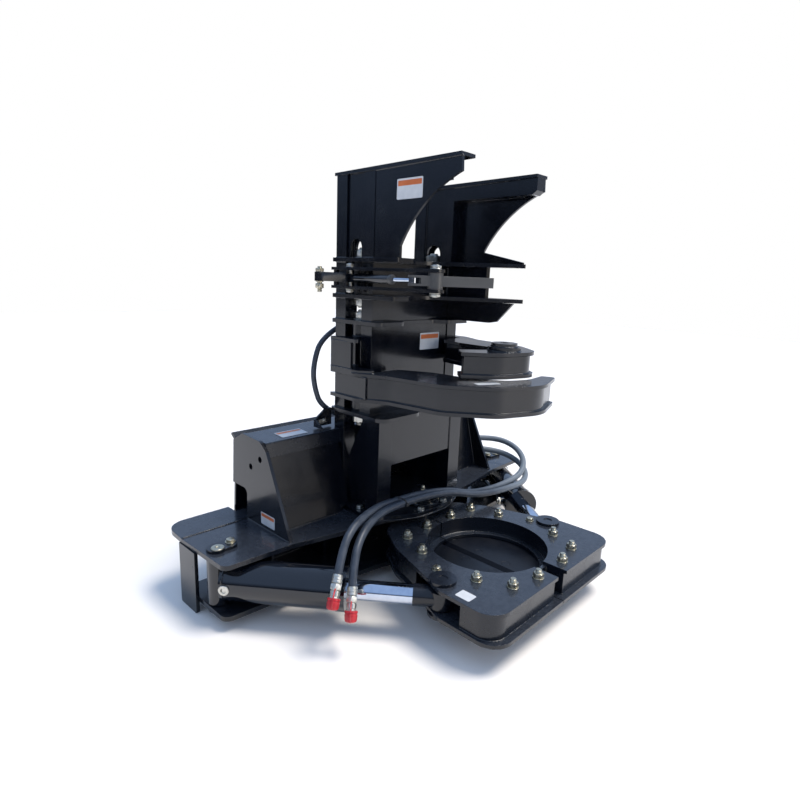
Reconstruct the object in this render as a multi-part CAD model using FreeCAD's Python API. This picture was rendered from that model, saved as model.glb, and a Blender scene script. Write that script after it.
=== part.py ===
import FreeCAD, Part
import math
import os

os.makedirs("parts", exist_ok=True)

V = FreeCAD.Vector

# Millimetres. X to the right, Y to the rear (machine side), Z up, floor at zero.
# The layout datum is the line where the housing meets the deck; FINISH moves the
# whole part so that the origin lies under the middle of its outer box.

# Clearances
RUN_GAP = 0.5
PIN_GAP = 0.05
BLADE_GAP = 0.5
# Play at the eye of each cylinder whose pivot is left open
EYE_PLAY = 12.0
LINK_PLAY = 5.0
RAM_PLAY = 4.0

# Deck
DECK_HALF = 810.0
DECK_FLARE = 9.0
DECK_TIP_HALF = DECK_HALF + DECK_FLARE
DECK_BACK = 404.0
DECK_SEAM = 266.0
DECK_T = 16.0
LOWER_Z = 40.0
UPPER_Z = 216.0
DECK_TOP = UPPER_Z + DECK_T
LOWER_TOP = LOWER_Z + DECK_T
DOUBLER_T = 16.0
DOUBLER_TOP = DECK_TOP + DOUBLER_T
END_T = 12.0
END_FRONT = 172.0
END_BACK = 280.0
SPINE_HALF = DECK_HALF - 110.0
SPINE_T = 14.0
DOUBLER_BOLTS = [(-226.0, 42.0), (226.0, 42.0), (-66.0, -126.0), (66.0, -126.0)]

# Housing behind the mast, with the machine plate
BOX_HALF = 571.5
BOX_T = 12.0
BOX_TOP = 548.0
BOX_TOP_FRONT = 156.0
BOX_BACK = 376.0
HITCH_T = 10.0
HITCH_LOW = 166.0
HITCH_TOP = 500.0
HITCH_LEAN = 24.0

# Mast
POST = 55.0
LOW_POST = 66.0
POST_OUT = 234.0
FRONT_POST_Y = -9.0
LOW_POST_Y = -61.0
REAR_POST_Y = 132.0
SHELF_T = 14.0
ARM_FLOOR_Z = 606.0
ARM_CEIL_Z = 940.0
SHELF_LOW_Z = 1030.0
SHELF_TOP_Z = 1156.0
MAST_TOP = 1448.0
HORN_T = 10.0
HORN_TUBE_H = 48.0
HORN_TIP_Y = -365.0

# Main hinge of the shear jaws
JAW_Y = -75.0
HUB_R = 70.0
JAW_PIN_R = 32.0
JAW_LOW = 90.0
JAW_TOP = 192.0
JAW_T = 12.0
HUB_SPLIT = 141.0
THROAT_Y = -390.0
THROAT_R = 212.0
LEDGE_R = 190.0
LEDGE_Z = 120.0
WALL_T = 12.0
SEAM_GAP = 28.0
JAW_FRONT = -688.0
JAW_LIP = 12.0
STUDS = [(-70, -166), (-187, -175), (-229, -283), (-238, -520), (-187, -620), (-78, -644)]
STUD_R = 10.0
BLADE_BOLTS = [-560.0, -450.0, -330.0, -220.0]
BLADE_BOLT_X = -40.0
BLADE_BOLT_R = 8.0
BLADE_T = 16.0

# Jaw cylinders
CYL_Z = 137.0
CYL_BASE = (-(DECK_HALF - 38.0), 110.0)
ROD_EYE = (-320.0, -451.0)
BARREL_R = 67.0
BARREL_L = 423.0
ROD_R = 32.0
EYE_R = 40.0
EYE_H = 56.0
EYE_PIN_R = 19.0
BASE_PIN_R = 22.0
BASE_EYE_R = 36.0
DISC_R = 44.0
DISC_T = 10.0

# Grapple arms
HUB_X = 190.0
HUB_Y = 88.0
ARM_HUB_R = 36.0
BOLT_R = 18.0
FLANGE_T = 12.0
LEFT_ARM_Z = (680.0, 780.0)
HUB_PLATE_T = 10.0
RIGHT_ARM_Z = (792.0, 878.0)
CRANK_X = 140.0
CRANK_Y = 140.0
LINK_Z = 835.0

# Upper arm with its finger
UPPER_ARM_Z = (1064.0, 1136.0)
STRAP_T = 10.0
FRONT_XY = (-218.0, -275.0)
FINGER_Z = (1084.0, 1116.0)
FINGER_TIP = (-58.0, -372.0)
RAM_BASE = (-272.0, 66.0)
RAM_EYE = (-275.0, -232.0)
RAM_Z = 1100.0

# Grapple arm outline round the hub, shared by the three arms: (x, y, corner radius)
NECK = [
    (-242, -32, 12),
    (-242, 56, 10),
    (-196, 56, 0),
    (-196, 120, 0),
    (-222, 110, 8),
    (-252, 88, 6),
    (-266, 106, 0),
    (-288, 132, 4),
    (-300, 138, 6),
    (-304, -8, 60),
]

# Fasteners, across the flats
HEX_M36 = 55.0
HEX_M20 = 30.0
HEX_M16 = 24.0

# Hoses: points of the centreline, from the port outwards
REAR_HOSE_R = 10.0
REAR_HOSE = [
    (-186, 212, 922), (-272, 222, 882), (-304, 228, 784),
    (-304, 228, 708), (-272, 222, 610), (-186, 212, 572)]
HOSE_R = 13.0
HOSE_LEFT = [
    (612, 150, 345), (690, 84, 350), (716, -22, 334), (674, -116, 296), (580, -166, 256),
    (460, -164, 238), (330, -158, 238), (205, -146, 252), (80, -130, 292), (-60, -122, 312),
    (-200, -126, 322), (-300, -146, 338), (-396, -184, 349), (-484, -216, 344), (-551, -243, 303),
    (-586, -265, 236)]
HOSE_RIGHT = [
    (612, 120, 300), (680, 52, 294), (700, -52, 272), (656, -142, 244), (566, -190, 226),
    (450, -194, 230), (330, -188, 236), (205, -175, 252), (80, -159, 292), (-60, -151, 312),
    (-200, -157, 322), (-298, -172, 330), (-388, -204, 334), (-470, -238, 318), (-531, -273, 271),
    (-558, -299, 200)]
FITTING_L = 26.0
COUPLER_L = 74.0
COUPLER_R = 15.0
CAP_L = 34.0

Y_FRONT = JAW_FRONT - JAW_LIP
Y_REAR = BOX_BACK + HITCH_T + HITCH_LEAN
FINISH = V(0, -(Y_FRONT + Y_REAR) / 2, 0)


def save(name, shape):
    moved = shape.copy()
    moved.translate(FINISH)
    if not moved.isValid():
        print("INVALID", name)
    moved.exportStep("parts/" + name + ".step")


def mirrored(shape):
    return shape.mirror(V(0, 0, 0), V(1, 0, 0))


def block(x0, x1, y0, y1, z0, z1):
    return Part.makeBox(x1 - x0, y1 - y0, z1 - z0, V(x0, y0, z0))


def rod_z(x, y, z0, z1, r):
    return Part.makeCylinder(r, z1 - z0, V(x, y, z0))


def rod_between(a, b, r):
    way = b.sub(a)
    return Part.makeCylinder(r, way.Length, a, way)


def hexagon(x, y, z0, z1, across):
    r = across / math.sqrt(3)
    turns = [math.radians(60 * k) for k in range(7)]
    ring = [V(x + r * math.cos(t), y + r * math.sin(t), z0) for t in turns]
    prism = Part.Face(Part.makePolygon(ring)).extrude(V(0, 0, z1 - z0))
    crown = Part.makeSphere(r * 1.12, V(x, y, (z0 + z1) / 2))
    return prism.common(crown)


def outline(corners, lift):
    """Closed wire from (u, v, corner radius) triples; lift turns u, v into a point."""
    edges = []
    count = len(corners)
    starts = []
    for k in range(count):
        u, v, r = corners[k]
        before = corners[k - 1]
        after = corners[(k + 1) % count]
        here = V(u, v, 0)
        back = V(before[0], before[1], 0).sub(here)
        ahead = V(after[0], after[1], 0).sub(here)
        room = 0.48 * min(back.Length, ahead.Length)
        back.normalize()
        ahead.normalize()
        if r <= 0:
            starts.append((here, None, here))
            continue
        half = back.getAngle(ahead) / 2
        reach = min(r / math.tan(half), room)
        r = reach * math.tan(half)
        middle = back.add(ahead).normalize()
        bulge = here.add(middle * (r / math.sin(half) - r))
        starts.append((here.add(back * reach), bulge, here.add(ahead * reach)))
    for k in range(count):
        first, bulge, last = starts[k]
        if bulge is not None:
            edges.append(Part.Arc(lift(first), lift(bulge), lift(last)).toShape())
        following = starts[(k + 1) % count][0]
        if last.distanceToPoint(following) > 1e-6:
            edges.append(Part.LineSegment(lift(last), lift(following)).toShape())
    return Part.Wire(Part.__sortEdges__(edges))


def plate(corners, z0, z1):
    wire = outline(corners, lambda p: V(p.x, p.y, z0))
    return Part.Face(wire).extrude(V(0, 0, z1 - z0))


def side_plate(corners, x0, x1):
    """Corners are (y, z, radius)."""
    wire = outline(corners, lambda p: V(x0, p.x, p.y))
    return Part.Face(wire).extrude(V(x1 - x0, 0, 0))


def joined(shapes):
    whole = shapes[0]
    for extra in shapes[1:]:
        whole = whole.fuse(extra)
    return whole.removeSplitter()


def both_sides(corners):
    """Outline given for x below zero, from the front middle round to the rear middle."""
    other = [(-x, y, r) for x, y, r in reversed(corners) if abs(x) > 1e-6]
    return corners + other


def deck_outline():
    return both_sides([
        (0, -112, 0),
        (-90, -108, 30),
        (-205, -70, 60),
        (-380, -46, 0),
        (-BOX_HALF, -8, 30),
        (-DECK_HALF, 2, 26),
        (-DECK_TIP_HALF, DECK_SEAM, 0),
        (0, DECK_SEAM, 0),
    ])


def base_pin_holes(z0, z1):
    hole = rod_z(CYL_BASE[0], CYL_BASE[1], z0, z1, BASE_PIN_R + PIN_GAP)
    return Part.Compound([hole, mirrored(hole)])


def make_deck():
    top = plate(deck_outline(), UPPER_Z, DECK_TOP)
    top = top.cut(rod_z(0, JAW_Y, UPPER_Z - 1, DECK_TOP + 1, JAW_PIN_R + PIN_GAP))
    top = top.cut(base_pin_holes(UPPER_Z - 1, DECK_TOP + 1))
    save("deck_plate", top)
    rear = plate(both_sides([
        (0, DECK_SEAM + RUN_GAP, 0),
        (-DECK_TIP_HALF, DECK_SEAM + RUN_GAP, 0),
        (-DECK_TIP_HALF + 6, DECK_BACK, 95),
        (0, DECK_BACK, 0),
    ]), UPPER_Z, DECK_TOP)
    notch_y = BOX_BACK - HITCH_LEAN
    rear = rear.cut(block(-BOX_HALF, BOX_HALF, notch_y, DECK_BACK + 1, UPPER_Z - 1, DECK_TOP + 1))
    save("deck_rear_plate", rear)


def make_doubler():
    shape = plate(both_sides([
        (0, -150, 0),
        (-95, -143, 90),
        (-215, -78, 60),
        (-262, -40, 10),
        (-250, 100, 20),
        (-196, 212, 10),
        (0, 212, 0),
    ]), DECK_TOP, DOUBLER_TOP)
    shape = shape.cut(rod_z(0, JAW_Y, DECK_TOP - 1, DOUBLER_TOP + 1, JAW_PIN_R + PIN_GAP))
    for x, y in DOUBLER_BOLTS:
        shape = shape.cut(rod_z(x, y, DECK_TOP - 1, DOUBLER_TOP + 1, 8.4))
    save("centre_doubler", shape)


def make_lower_deck():
    shape = plate(both_sides([
        (0, -112, 0),
        (-90, -108, 30),
        (-205, -70, 60),
        (-380, -46, 0),
        (-BOX_HALF, -8, 30),
        (-DECK_HALF, 6, 30),
        (-DECK_HALF, DECK_SEAM, 20),
        (0, DECK_SEAM, 0),
    ]), LOWER_Z, LOWER_TOP)
    shape = shape.cut(rod_z(0, JAW_Y, LOWER_Z - 1, LOWER_TOP + 1, JAW_PIN_R + PIN_GAP))
    shape = shape.cut(base_pin_holes(LOWER_Z - 1, LOWER_TOP + 1))
    save("lower_deck", shape)
    y1 = DECK_SEAM - 20
    y0 = y1 - SPINE_T
    wall = block(-SPINE_HALF, SPINE_HALF, y0, y1, LOWER_TOP, UPPER_Z)
    for x in (-560, -330, 330, 560):
        wall = wall.fuse(block(x - 6, x + 6, 120, y0, LOWER_TOP, UPPER_Z))
    save("deck_spine_wall", wall.removeSplitter())


def make_end_plates():
    shape = side_plate([
        (END_FRONT, 0, 6),
        (END_FRONT, UPPER_Z, 0),
        (END_BACK, UPPER_Z, 0),
        (END_BACK, 0, 6),
    ], -DECK_HALF - END_T, -DECK_HALF)
    save("end_plate_left", shape)
    save("end_plate_right", mirrored(shape))


def make_housing():
    side = side_plate([
        (2, DECK_TOP, 0),
        (139, BOX_TOP - 34, 20),
        (176, BOX_TOP - 5, 30),
        (290, BOX_TOP, 12),
        (BOX_BACK - HITCH_LEAN, BOX_TOP - 36, 0),
        (BOX_BACK - 14, 346, 0),
        (264, 346, 22),
        (268, DECK_TOP, 0),
    ], -BOX_HALF, -BOX_HALF + BOX_T)
    for y, z in ((176, 478), (236, 438)):
        side = side.cut(Part.makeCylinder(11, 40, V(-BOX_HALF - 10, y, z), V(1, 0, 0)))
    save("housing_side_left", side)
    save("housing_side_right", mirrored(side))

    inner = BOX_HALF - BOX_T
    cover = side_plate([
        (144, BOX_TOP - 60, 0),
        (157, BOX_TOP - 10, 6),
        (290, BOX_TOP - 3, 10),
        (BOX_BACK - HITCH_LEAN - 2, BOX_TOP - 38, 0),
        (BOX_BACK - HITCH_LEAN - 2, BOX_TOP - 47, 0),
        (290, BOX_TOP - 12, 6),
        (165, BOX_TOP - 19, 0),
        (152, BOX_TOP - 60, 0),
    ], -inner, inner)
    for x0 in (-POST_OUT, POST_OUT - POST):
        cover = cover.cut(block(x0, x0 + POST, REAR_POST_Y, REAR_POST_Y + POST, 400, BOX_TOP + 10))
    save("housing_top_cover", cover)

    panel = side_plate([
        (87, DECK_TOP, 0),
        (97, DECK_TOP, 0),
        (168, BOX_TOP - 32, 0),
        (161, BOX_TOP - 32, 0),
    ], -inner, -POST_OUT - 6)
    panel = panel.cut(block(-270, -230, 60, 120, DECK_TOP - 1, DOUBLER_TOP + RUN_GAP))
    save("housing_panel_left", panel)
    save("housing_panel_right", mirrored(panel))


def make_hitch():
    """Machine plate: leaning sheet with a top lip and two pin windows at its foot."""
    lean = HITCH_LEAN
    shape = side_plate([
        (BOX_BACK - lean, HITCH_TOP, 0),
        (BOX_BACK - lean + HITCH_T, HITCH_TOP, 0),
        (BOX_BACK + HITCH_T, HITCH_LOW, 0),
        (BOX_BACK, HITCH_LOW, 0),
    ], -BOX_HALF + BOX_T, BOX_HALF - BOX_T)
    lip = side_plate([
        (BOX_BACK - lean, HITCH_TOP, 0),
        (BOX_BACK - lean, HITCH_TOP + 10, 0),
        (BOX_BACK + 6, HITCH_TOP + 30, 4),
        (BOX_BACK + 14, HITCH_TOP + 22, 4),
        (BOX_BACK - lean + HITCH_T, HITCH_TOP, 0),
    ], -BOX_HALF + BOX_T, BOX_HALF - BOX_T)
    foot = side_plate([
        (BOX_BACK + HITCH_T, HITCH_LOW, 0),
        (BOX_BACK, HITCH_LOW, 0),
        (BOX_BACK + 12, HITCH_LOW - 24, 0),
        (BOX_BACK + HITCH_T + HITCH_LEAN, HITCH_LOW - 24, 0),
    ], -BOX_HALF + BOX_T, BOX_HALF - BOX_T)
    shape = joined([shape, lip, foot])
    for x in (-420, 420):
        shape = shape.cut(block(x - 32, x + 32, BOX_BACK - 20, BOX_BACK + 60, HITCH_LOW - 2, HITCH_LOW + 18))
    save("hitch_plate", shape)


def post(x, y, side, z0, z1, wall):
    """Square tube whose left front corner stands at x, y."""
    bore = block(x + wall, x + side - wall, y + wall, y + side - wall, z0 - 1, z1 + 1)
    return block(x, x + side, y, y + side, z0, z1).cut(bore)


def make_mast_foot():
    """Two lower posts and the front web between them, with a plate behind."""
    left = post(-POST_OUT, LOW_POST_Y, LOW_POST, DOUBLER_TOP, ARM_FLOOR_Z, 6)
    right = mirrored(left)
    inner = POST_OUT - LOW_POST
    web = block(-inner, inner, LOW_POST_Y + 4, LOW_POST_Y + 14, 430, ARM_FLOOR_Z)
    brace = side_plate([
        (LOW_POST_Y + LOW_POST, DOUBLER_TOP, 0),
        (LOW_POST_Y + LOW_POST, ARM_FLOOR_Z - 6, 0),
        (LOW_POST_Y + LOW_POST + 40, ARM_FLOOR_Z - 6, 0),
        (REAR_POST_Y, 420, 60),
        (REAR_POST_Y, DOUBLER_TOP, 0),
    ], -212, -202)
    save("mast_foot", joined([left, right, web, brace, mirrored(brace)]))


def make_posts():
    front = post(-POST_OUT, FRONT_POST_Y, POST, ARM_FLOOR_Z + SHELF_T, MAST_TOP, 5)
    rear = post(-POST_OUT, REAR_POST_Y, POST, DOUBLER_TOP, MAST_TOP, 5)
    return front, rear


def shelf(front_edge, z):
    """Horizontal mast plate: posts pass through it, and a window lies between them."""
    corners = [(-250, 196, 14)] + front_edge + [(250, 196, 14)]
    shape = plate(corners, z, z + SHELF_T)
    shape = shape.cut(plate([
        (-150, 178, 20), (-150, 30, 20), (150, 30, 20), (150, 178, 20)], z - 1, z + SHELF_T + 1))
    inner = POST_OUT - POST
    for side in (-1, 1):
        shape = shape.cut(rod_z(side * HUB_X, HUB_Y, z - 1, z + SHELF_T + 1, BOLT_R + PIN_GAP))
        x0, x1 = sorted((side * inner, side * POST_OUT))
        shape = shape.cut(block(x0, x1, REAR_POST_Y, REAR_POST_Y + POST, z - 1, z + SHELF_T + 1))
        if z > ARM_FLOOR_Z:
            shape = shape.cut(block(x0, x1, FRONT_POST_Y, FRONT_POST_Y + POST, z - 1, z + SHELF_T + 1))
    return shape


def make_shelves():
    save("arm_floor_plate", shelf([
        (-250, -90, 40), (-60, -90, 60), (-20, -61, 0), (20, -61, 0), (60, -90, 60), (250, -90, 40),
    ], ARM_FLOOR_Z))
    save("arm_ceiling_plate", shelf([
        (-250, -60, 20), (-120, -60, 40), (-90, -12, 30), (90, -12, 30), (120, -60, 40), (250, -60, 20),
    ], ARM_CEIL_Z))
    hollow = [(-70, -12, 80), (70, -12, 80), (180, -240, 80), (236, -312, 6), (250, -300, 6)]
    save("shelf_lower", shelf([(-248, -120, 10), (-150, -120, 60)] + hollow, SHELF_LOW_Z))
    save("shelf_upper", shelf([(-248, -134, 10), (-150, -134, 60)] + hollow, SHELF_TOP_Z))


def make_webs():
    inner = POST_OUT - POST
    web = block(-inner, inner, FRONT_POST_Y + 4, FRONT_POST_Y + 14, ARM_FLOOR_Z + SHELF_T, ARM_CEIL_Z)
    save("mast_front_web", web)
    upper = block(-inner, inner, FRONT_POST_Y + 4, FRONT_POST_Y + 14, ARM_CEIL_Z + SHELF_T, SHELF_LOW_Z)
    under = side_plate([
        (FRONT_POST_Y, ARM_CEIL_Z + SHELF_T, 0),
        (FRONT_POST_Y, SHELF_LOW_Z, 0),
        (-306, SHELF_LOW_Z, 0),
        (-240, ARM_CEIL_Z + SHELF_T + 6, 0),
        (-206, ARM_CEIL_Z + SHELF_T, 0),
    ], inner, inner + 10)
    closing = joined([upper, under])
    save("shelf_box_web", closing)
    z0 = SHELF_LOW_Z + SHELF_T
    bay = block(-inner, inner, FRONT_POST_Y + 4, FRONT_POST_Y + 14, z0, SHELF_TOP_Z)
    wing = block(inner, inner + 10, -190, FRONT_POST_Y, z0, SHELF_TOP_Z)
    wing = wing.fuse(block(inner - 10, inner, -190, FRONT_POST_Y + 4, z0, SHELF_TOP_Z))
    save("upper_bay_web", joined([bay, wing]))


def window_plate():
    y0 = FRONT_POST_Y + POST
    y1 = REAR_POST_Y
    z0 = SHELF_TOP_Z + SHELF_T
    shape = block(-196, -186, y0, y1, z0, MAST_TOP)
    arch_r = (y1 - y0) / 2 - 8
    middle = (y0 + y1) / 2
    shape = shape.cut(Part.makeCylinder(arch_r, 40, V(-210, middle, z0 + 34), V(1, 0, 0)))
    return shape.cut(block(-210, -170, middle - arch_r, middle + arch_r, z0 - 1, z0 + 34))


def horn(with_wing):
    """Curved cradle web standing on the upper shelf, with a flange over its top edge."""
    z0 = SHELF_TOP_Z + SHELF_T
    y_post = FRONT_POST_Y
    low = [(y_post, z0), (-130, z0), (-130, 1208)]
    if with_wing:
        low = [(y_post, z0), (-306, z0), (-306, z0 + 6), (-130, 1212)]
    edges = []
    points = [V(-POST_OUT + 2, y, z) for y, z in low]
    for a, b in zip(points, points[1:]):
        edges.append(Part.makeLine(a, b))
    x = -POST_OUT + 2
    end = V(x, HORN_TIP_Y - 2, MAST_TOP - 36)
    edges.append(Part.Arc(points[-1], V(x, HORN_TIP_Y + 151, MAST_TOP - 130), end).toShape())
    tip = V(x, HORN_TIP_Y, MAST_TOP + 6)
    top = V(x, y_post, MAST_TOP)
    edges.append(Part.makeLine(end, tip))
    edges.append(Part.makeLine(tip, top))
    edges.append(Part.makeLine(top, points[0]))
    web = Part.Face(Part.Wire(edges)).extrude(V(HORN_T, 0, 0))
    flange = side_plate([
        (REAR_POST_Y + POST + 8, MAST_TOP, 0),
        (y_post, MAST_TOP, 0),
        (HORN_TIP_Y - 2, MAST_TOP + 6, 0),
        (HORN_TIP_Y - 2, MAST_TOP + 16, 0),
        (REAR_POST_Y + POST + 8, MAST_TOP + 10, 0),
    ], -POST_OUT - 4, -POST_OUT + POST + 6)
    tube_z = MAST_TOP - HORN_TUBE_H
    floor = block(x + HORN_T / 2, -POST_OUT + POST, HORN_TIP_Y + 70, y_post, tube_z, tube_z + 8)
    inner = block(-POST_OUT + POST - 8, -POST_OUT + POST, HORN_TIP_Y + 70, y_post, tube_z, MAST_TOP + 8)
    return joined([web, flange, floor, inner])


def make_mast():
    make_mast_foot()
    front, rear = make_posts()
    save("front_post_left", front)
    save("front_post_right", mirrored(front))
    rear = rear.fuse(window_plate()).removeSplitter()
    save("rear_post_left", rear)
    save("rear_post_right", mirrored(rear))
    make_shelves()
    make_webs()
    save("horn_left", horn(False))
    save("horn_right", mirrored(horn(True)))


def jaw_outline(seam, front):
    return [
        (-seam, JAW_Y + 60, 0),
        (-seam, front, 0),
        (-376, front, 70),
        (-372, -478, 40),
        (-336, -385, 30),
        (-276, -205, 60),
        (-206, -88, 50),
        (-104, -22, 40),
        (-60, JAW_Y + 60, 0),
    ]


def wall_band(corners, inset, thickness, z0, z1):
    face = Part.Face(outline(corners, lambda p: V(p.x, p.y, z0)))
    outer = face.makeOffset2D(-inset)
    inner = face.makeOffset2D(-inset - thickness)
    return outer.cut(inner).extrude(V(0, 0, z1 - z0))


def jaw_body(hub_low):
    """Left jaw: a box of two plates with a round throat wall; the hub fills half of its height."""
    free = rod_z(0, JAW_Y, JAW_LOW - 1, JAW_TOP + 1, HUB_R + 4)
    throat = rod_z(0, THROAT_Y, JAW_LOW - 1, JAW_TOP + 1, THROAT_R)
    top = plate(jaw_outline(3, JAW_FRONT), JAW_TOP - JAW_T, JAW_TOP)
    top = top.cut(throat).cut(block(-SEAM_GAP, 0, JAW_FRONT - 1, THROAT_Y, JAW_LOW, JAW_TOP + 1))
    bottom = plate(jaw_outline(1.5, JAW_FRONT - JAW_LIP), JAW_LOW, JAW_LOW + JAW_T)
    z0 = JAW_LOW + JAW_T
    z1 = JAW_TOP - JAW_T
    band = wall_band(jaw_outline(14, JAW_FRONT), 10, WALL_T, z0, z1)
    front_wall = band.common(block(-420, -SEAM_GAP - 4, JAW_FRONT, -556, z0, z1))
    front_wall = front_wall.cut(block(-60, 0, THROAT_Y - THROAT_R, THROAT_Y, z0, z1))
    back_wall = band.common(block(-420, -70, -330, JAW_Y + 70, z0, z1))
    half = block(-THROAT_R - 60, -3, THROAT_Y - 300, THROAT_Y + 300, z0, z1)
    throat_wall = rod_z(0, THROAT_Y, z0, z1, THROAT_R + WALL_T).cut(throat).common(half)
    ledge = rod_z(0, THROAT_Y, LEDGE_Z, LEDGE_Z + WALL_T, THROAT_R + 2).common(half)
    ledge = ledge.cut(rod_z(0, THROAT_Y, LEDGE_Z - 1, LEDGE_Z + WALL_T + 1, LEDGE_R))
    lip_wall = block(-SEAM_GAP - 12, -SEAM_GAP, JAW_FRONT + 10, THROAT_Y - THROAT_R + 2, z0, z1)
    shape = joined([top, bottom, front_wall, back_wall, throat_wall, ledge, lip_wall])
    hub_z = (JAW_LOW, HUB_SPLIT - RUN_GAP) if hub_low else (HUB_SPLIT + RUN_GAP, JAW_TOP)
    if hub_low:
        away = rod_z(0, JAW_Y, HUB_SPLIT - RUN_GAP, JAW_TOP + 1, HUB_R + 4)
    else:
        away = rod_z(0, JAW_Y, JAW_LOW - 1, HUB_SPLIT + RUN_GAP, HUB_R + 4)
    shape = shape.cut(away)
    shape = shape.fuse(rod_z(0, JAW_Y, hub_z[0], hub_z[1], HUB_R)).removeSplitter()
    shape = shape.cut(rod_z(0, JAW_Y, JAW_LOW - 1, JAW_TOP + 1, JAW_PIN_R + PIN_GAP))
    shape = shape.cut(rod_z(ROD_EYE[0], ROD_EYE[1], JAW_LOW - 1, JAW_TOP + 1, EYE_PIN_R + EYE_PLAY))
    for x, y in STUDS:
        shape = shape.cut(rod_z(x, y, JAW_LOW - 1, JAW_TOP + 1, STUD_R + PIN_GAP))
    for y in BLADE_BOLTS:
        shape = shape.cut(rod_z(BLADE_BOLT_X, y, JAW_LOW - 1, JAW_LOW + JAW_T + 1, BLADE_BOLT_R + PIN_GAP))
    return shape


def jaw_blade():
    """Straight knife along the seam, bevelled on its upper face towards the cut."""
    z0 = JAW_LOW + JAW_T
    back = -THROAT_R
    bevel = -16
    profile = [
        V(back, 0, z0),
        V(-BLADE_GAP, 0, z0),
        V(-BLADE_GAP, 0, z0 + 3),
        V(bevel, 0, z0 + BLADE_T),
        V(back, 0, z0 + BLADE_T),
        V(back, 0, z0),
    ]
    length = 2 * THROAT_R
    bar = Part.Face(Part.makePolygon(profile)).extrude(V(0, -length, 0))
    bar.translate(V(0, THROAT_Y + length / 2, 0))
    bar = bar.common(rod_z(0, THROAT_Y, z0, z0 + BLADE_T + 4, THROAT_R - 1))
    for y in BLADE_BOLTS:
        bar = bar.cut(rod_z(BLADE_BOLT_X, y, z0 - 1, z0 + BLADE_T + 4, BLADE_BOLT_R + PIN_GAP))
        bar = bar.cut(Part.makeCone(BLADE_BOLT_R, 16, 8.1, V(BLADE_BOLT_X, y, z0 + BLADE_T - 8)))
    return bar


def blade_bolt(y):
    x = BLADE_BOLT_X
    z = JAW_LOW + JAW_T + BLADE_T
    head = Part.makeCone(BLADE_BOLT_R - 0.1, 15.6, 7.8, V(x, y, z - 8))
    shank = rod_z(x, y, JAW_LOW - 16, z - 8, BLADE_BOLT_R)
    nut = hexagon(x, y, JAW_LOW - 13, JAW_LOW, HEX_M16)
    return joined([head, shank, nut])


def stud(x, y):
    shank = rod_z(x, y, JAW_LOW, JAW_TOP + 21, STUD_R)
    washer = rod_z(x, y, JAW_TOP, JAW_TOP + 3, 19)
    nut = hexagon(x, y, JAW_TOP + 3, JAW_TOP + 18, HEX_M20)
    head = hexagon(x, y, JAW_LOW - 13, JAW_LOW, HEX_M20)
    return joined([shank, washer, nut, head])


def make_jaws():
    save("jaw_left", jaw_body(True))
    save("jaw_right", mirrored(jaw_body(False)))
    blade = jaw_blade()
    save("blade_left", blade)
    save("blade_right", mirrored(blade))
    studs = Part.Compound([stud(x, y) for x, y in STUDS] + [blade_bolt(y) for y in BLADE_BOLTS])
    save("jaw_studs_left", studs)
    save("jaw_studs_right", mirrored(studs))


def make_main_pin():
    foot = rod_z(0, JAW_Y, 0, LOWER_Z, 62)
    shaft = rod_z(0, JAW_Y, LOWER_Z, DOUBLER_TOP, JAW_PIN_R)
    collar = rod_z(0, JAW_Y, DOUBLER_TOP, DOUBLER_TOP + 14, 66)
    dome = Part.makeCone(48, 34, 34, V(0, JAW_Y, DOUBLER_TOP + 14))
    save("main_pin", joined([foot, shaft, collar, dome]))


def cylinder_way():
    way = V(ROD_EYE[0] - CYL_BASE[0], ROD_EYE[1] - CYL_BASE[1], 0)
    return way, way.Length


def along(distance, z=CYL_Z):
    way, length = cylinder_way()
    return V(CYL_BASE[0], CYL_BASE[1], z).add(way * (distance / length))


def jaw_barrel():
    way, length = cylinder_way()
    body = rod_between(along(24), along(BARREL_L), BARREL_R)
    gland = rod_between(along(BARREL_L - 30), along(BARREL_L), BARREL_R + 3)
    eye = rod_z(CYL_BASE[0], CYL_BASE[1], LOWER_TOP + 3, UPPER_Z - 3, BASE_EYE_R)
    side = V(-way.y, way.x, 0).normalize() * -1
    ports = []
    for d in (62, BARREL_L - 52):
        foot = along(d)
        ports.append(rod_between(foot.sub(side * (BARREL_R - 10)), foot.sub(side * (BARREL_R + 16)), 17))
    shape = joined([body, gland, eye] + ports)
    shape = shape.cut(rod_between(along(60), along(BARREL_L - 40), BARREL_R - 11))
    shape = shape.cut(rod_between(along(BARREL_L - 60), along(BARREL_L + 5), ROD_R + PIN_GAP))
    return shape.cut(rod_z(CYL_BASE[0], CYL_BASE[1], LOWER_Z, UPPER_Z + 1, BASE_PIN_R + PIN_GAP))


def jaw_rod():
    way, length = cylinder_way()
    shaft = rod_between(along(BARREL_L - 75), along(length - 12), ROD_R)
    piston = rod_between(along(BARREL_L - 85), along(BARREL_L - 50), BARREL_R - 11 - PIN_GAP)
    collar = rod_between(along(length - 90), along(length - 12), ROD_R + 2)
    eye = rod_z(ROD_EYE[0], ROD_EYE[1], CYL_Z - EYE_H / 2, CYL_Z + EYE_H / 2, EYE_R)
    shape = joined([shaft, piston, collar, eye])
    return shape.cut(rod_z(ROD_EYE[0], ROD_EYE[1], 0, 300, EYE_PIN_R + PIN_GAP))


def jaw_pin():
    x, y = ROD_EYE
    shaft = rod_z(x, y, JAW_LOW - 2, JAW_TOP + 2, EYE_PIN_R)
    cap = rod_z(x, y, JAW_TOP + RUN_GAP, JAW_TOP + RUN_GAP + DISC_T, DISC_R)
    cap = cap.cut(rod_z(x, y, JAW_TOP + RUN_GAP + DISC_T - 3, JAW_TOP + 20, 16))
    foot = rod_z(x, y, JAW_LOW - RUN_GAP - DISC_T, JAW_LOW - RUN_GAP, DISC_R)
    return joined([shaft, cap, foot])


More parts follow.
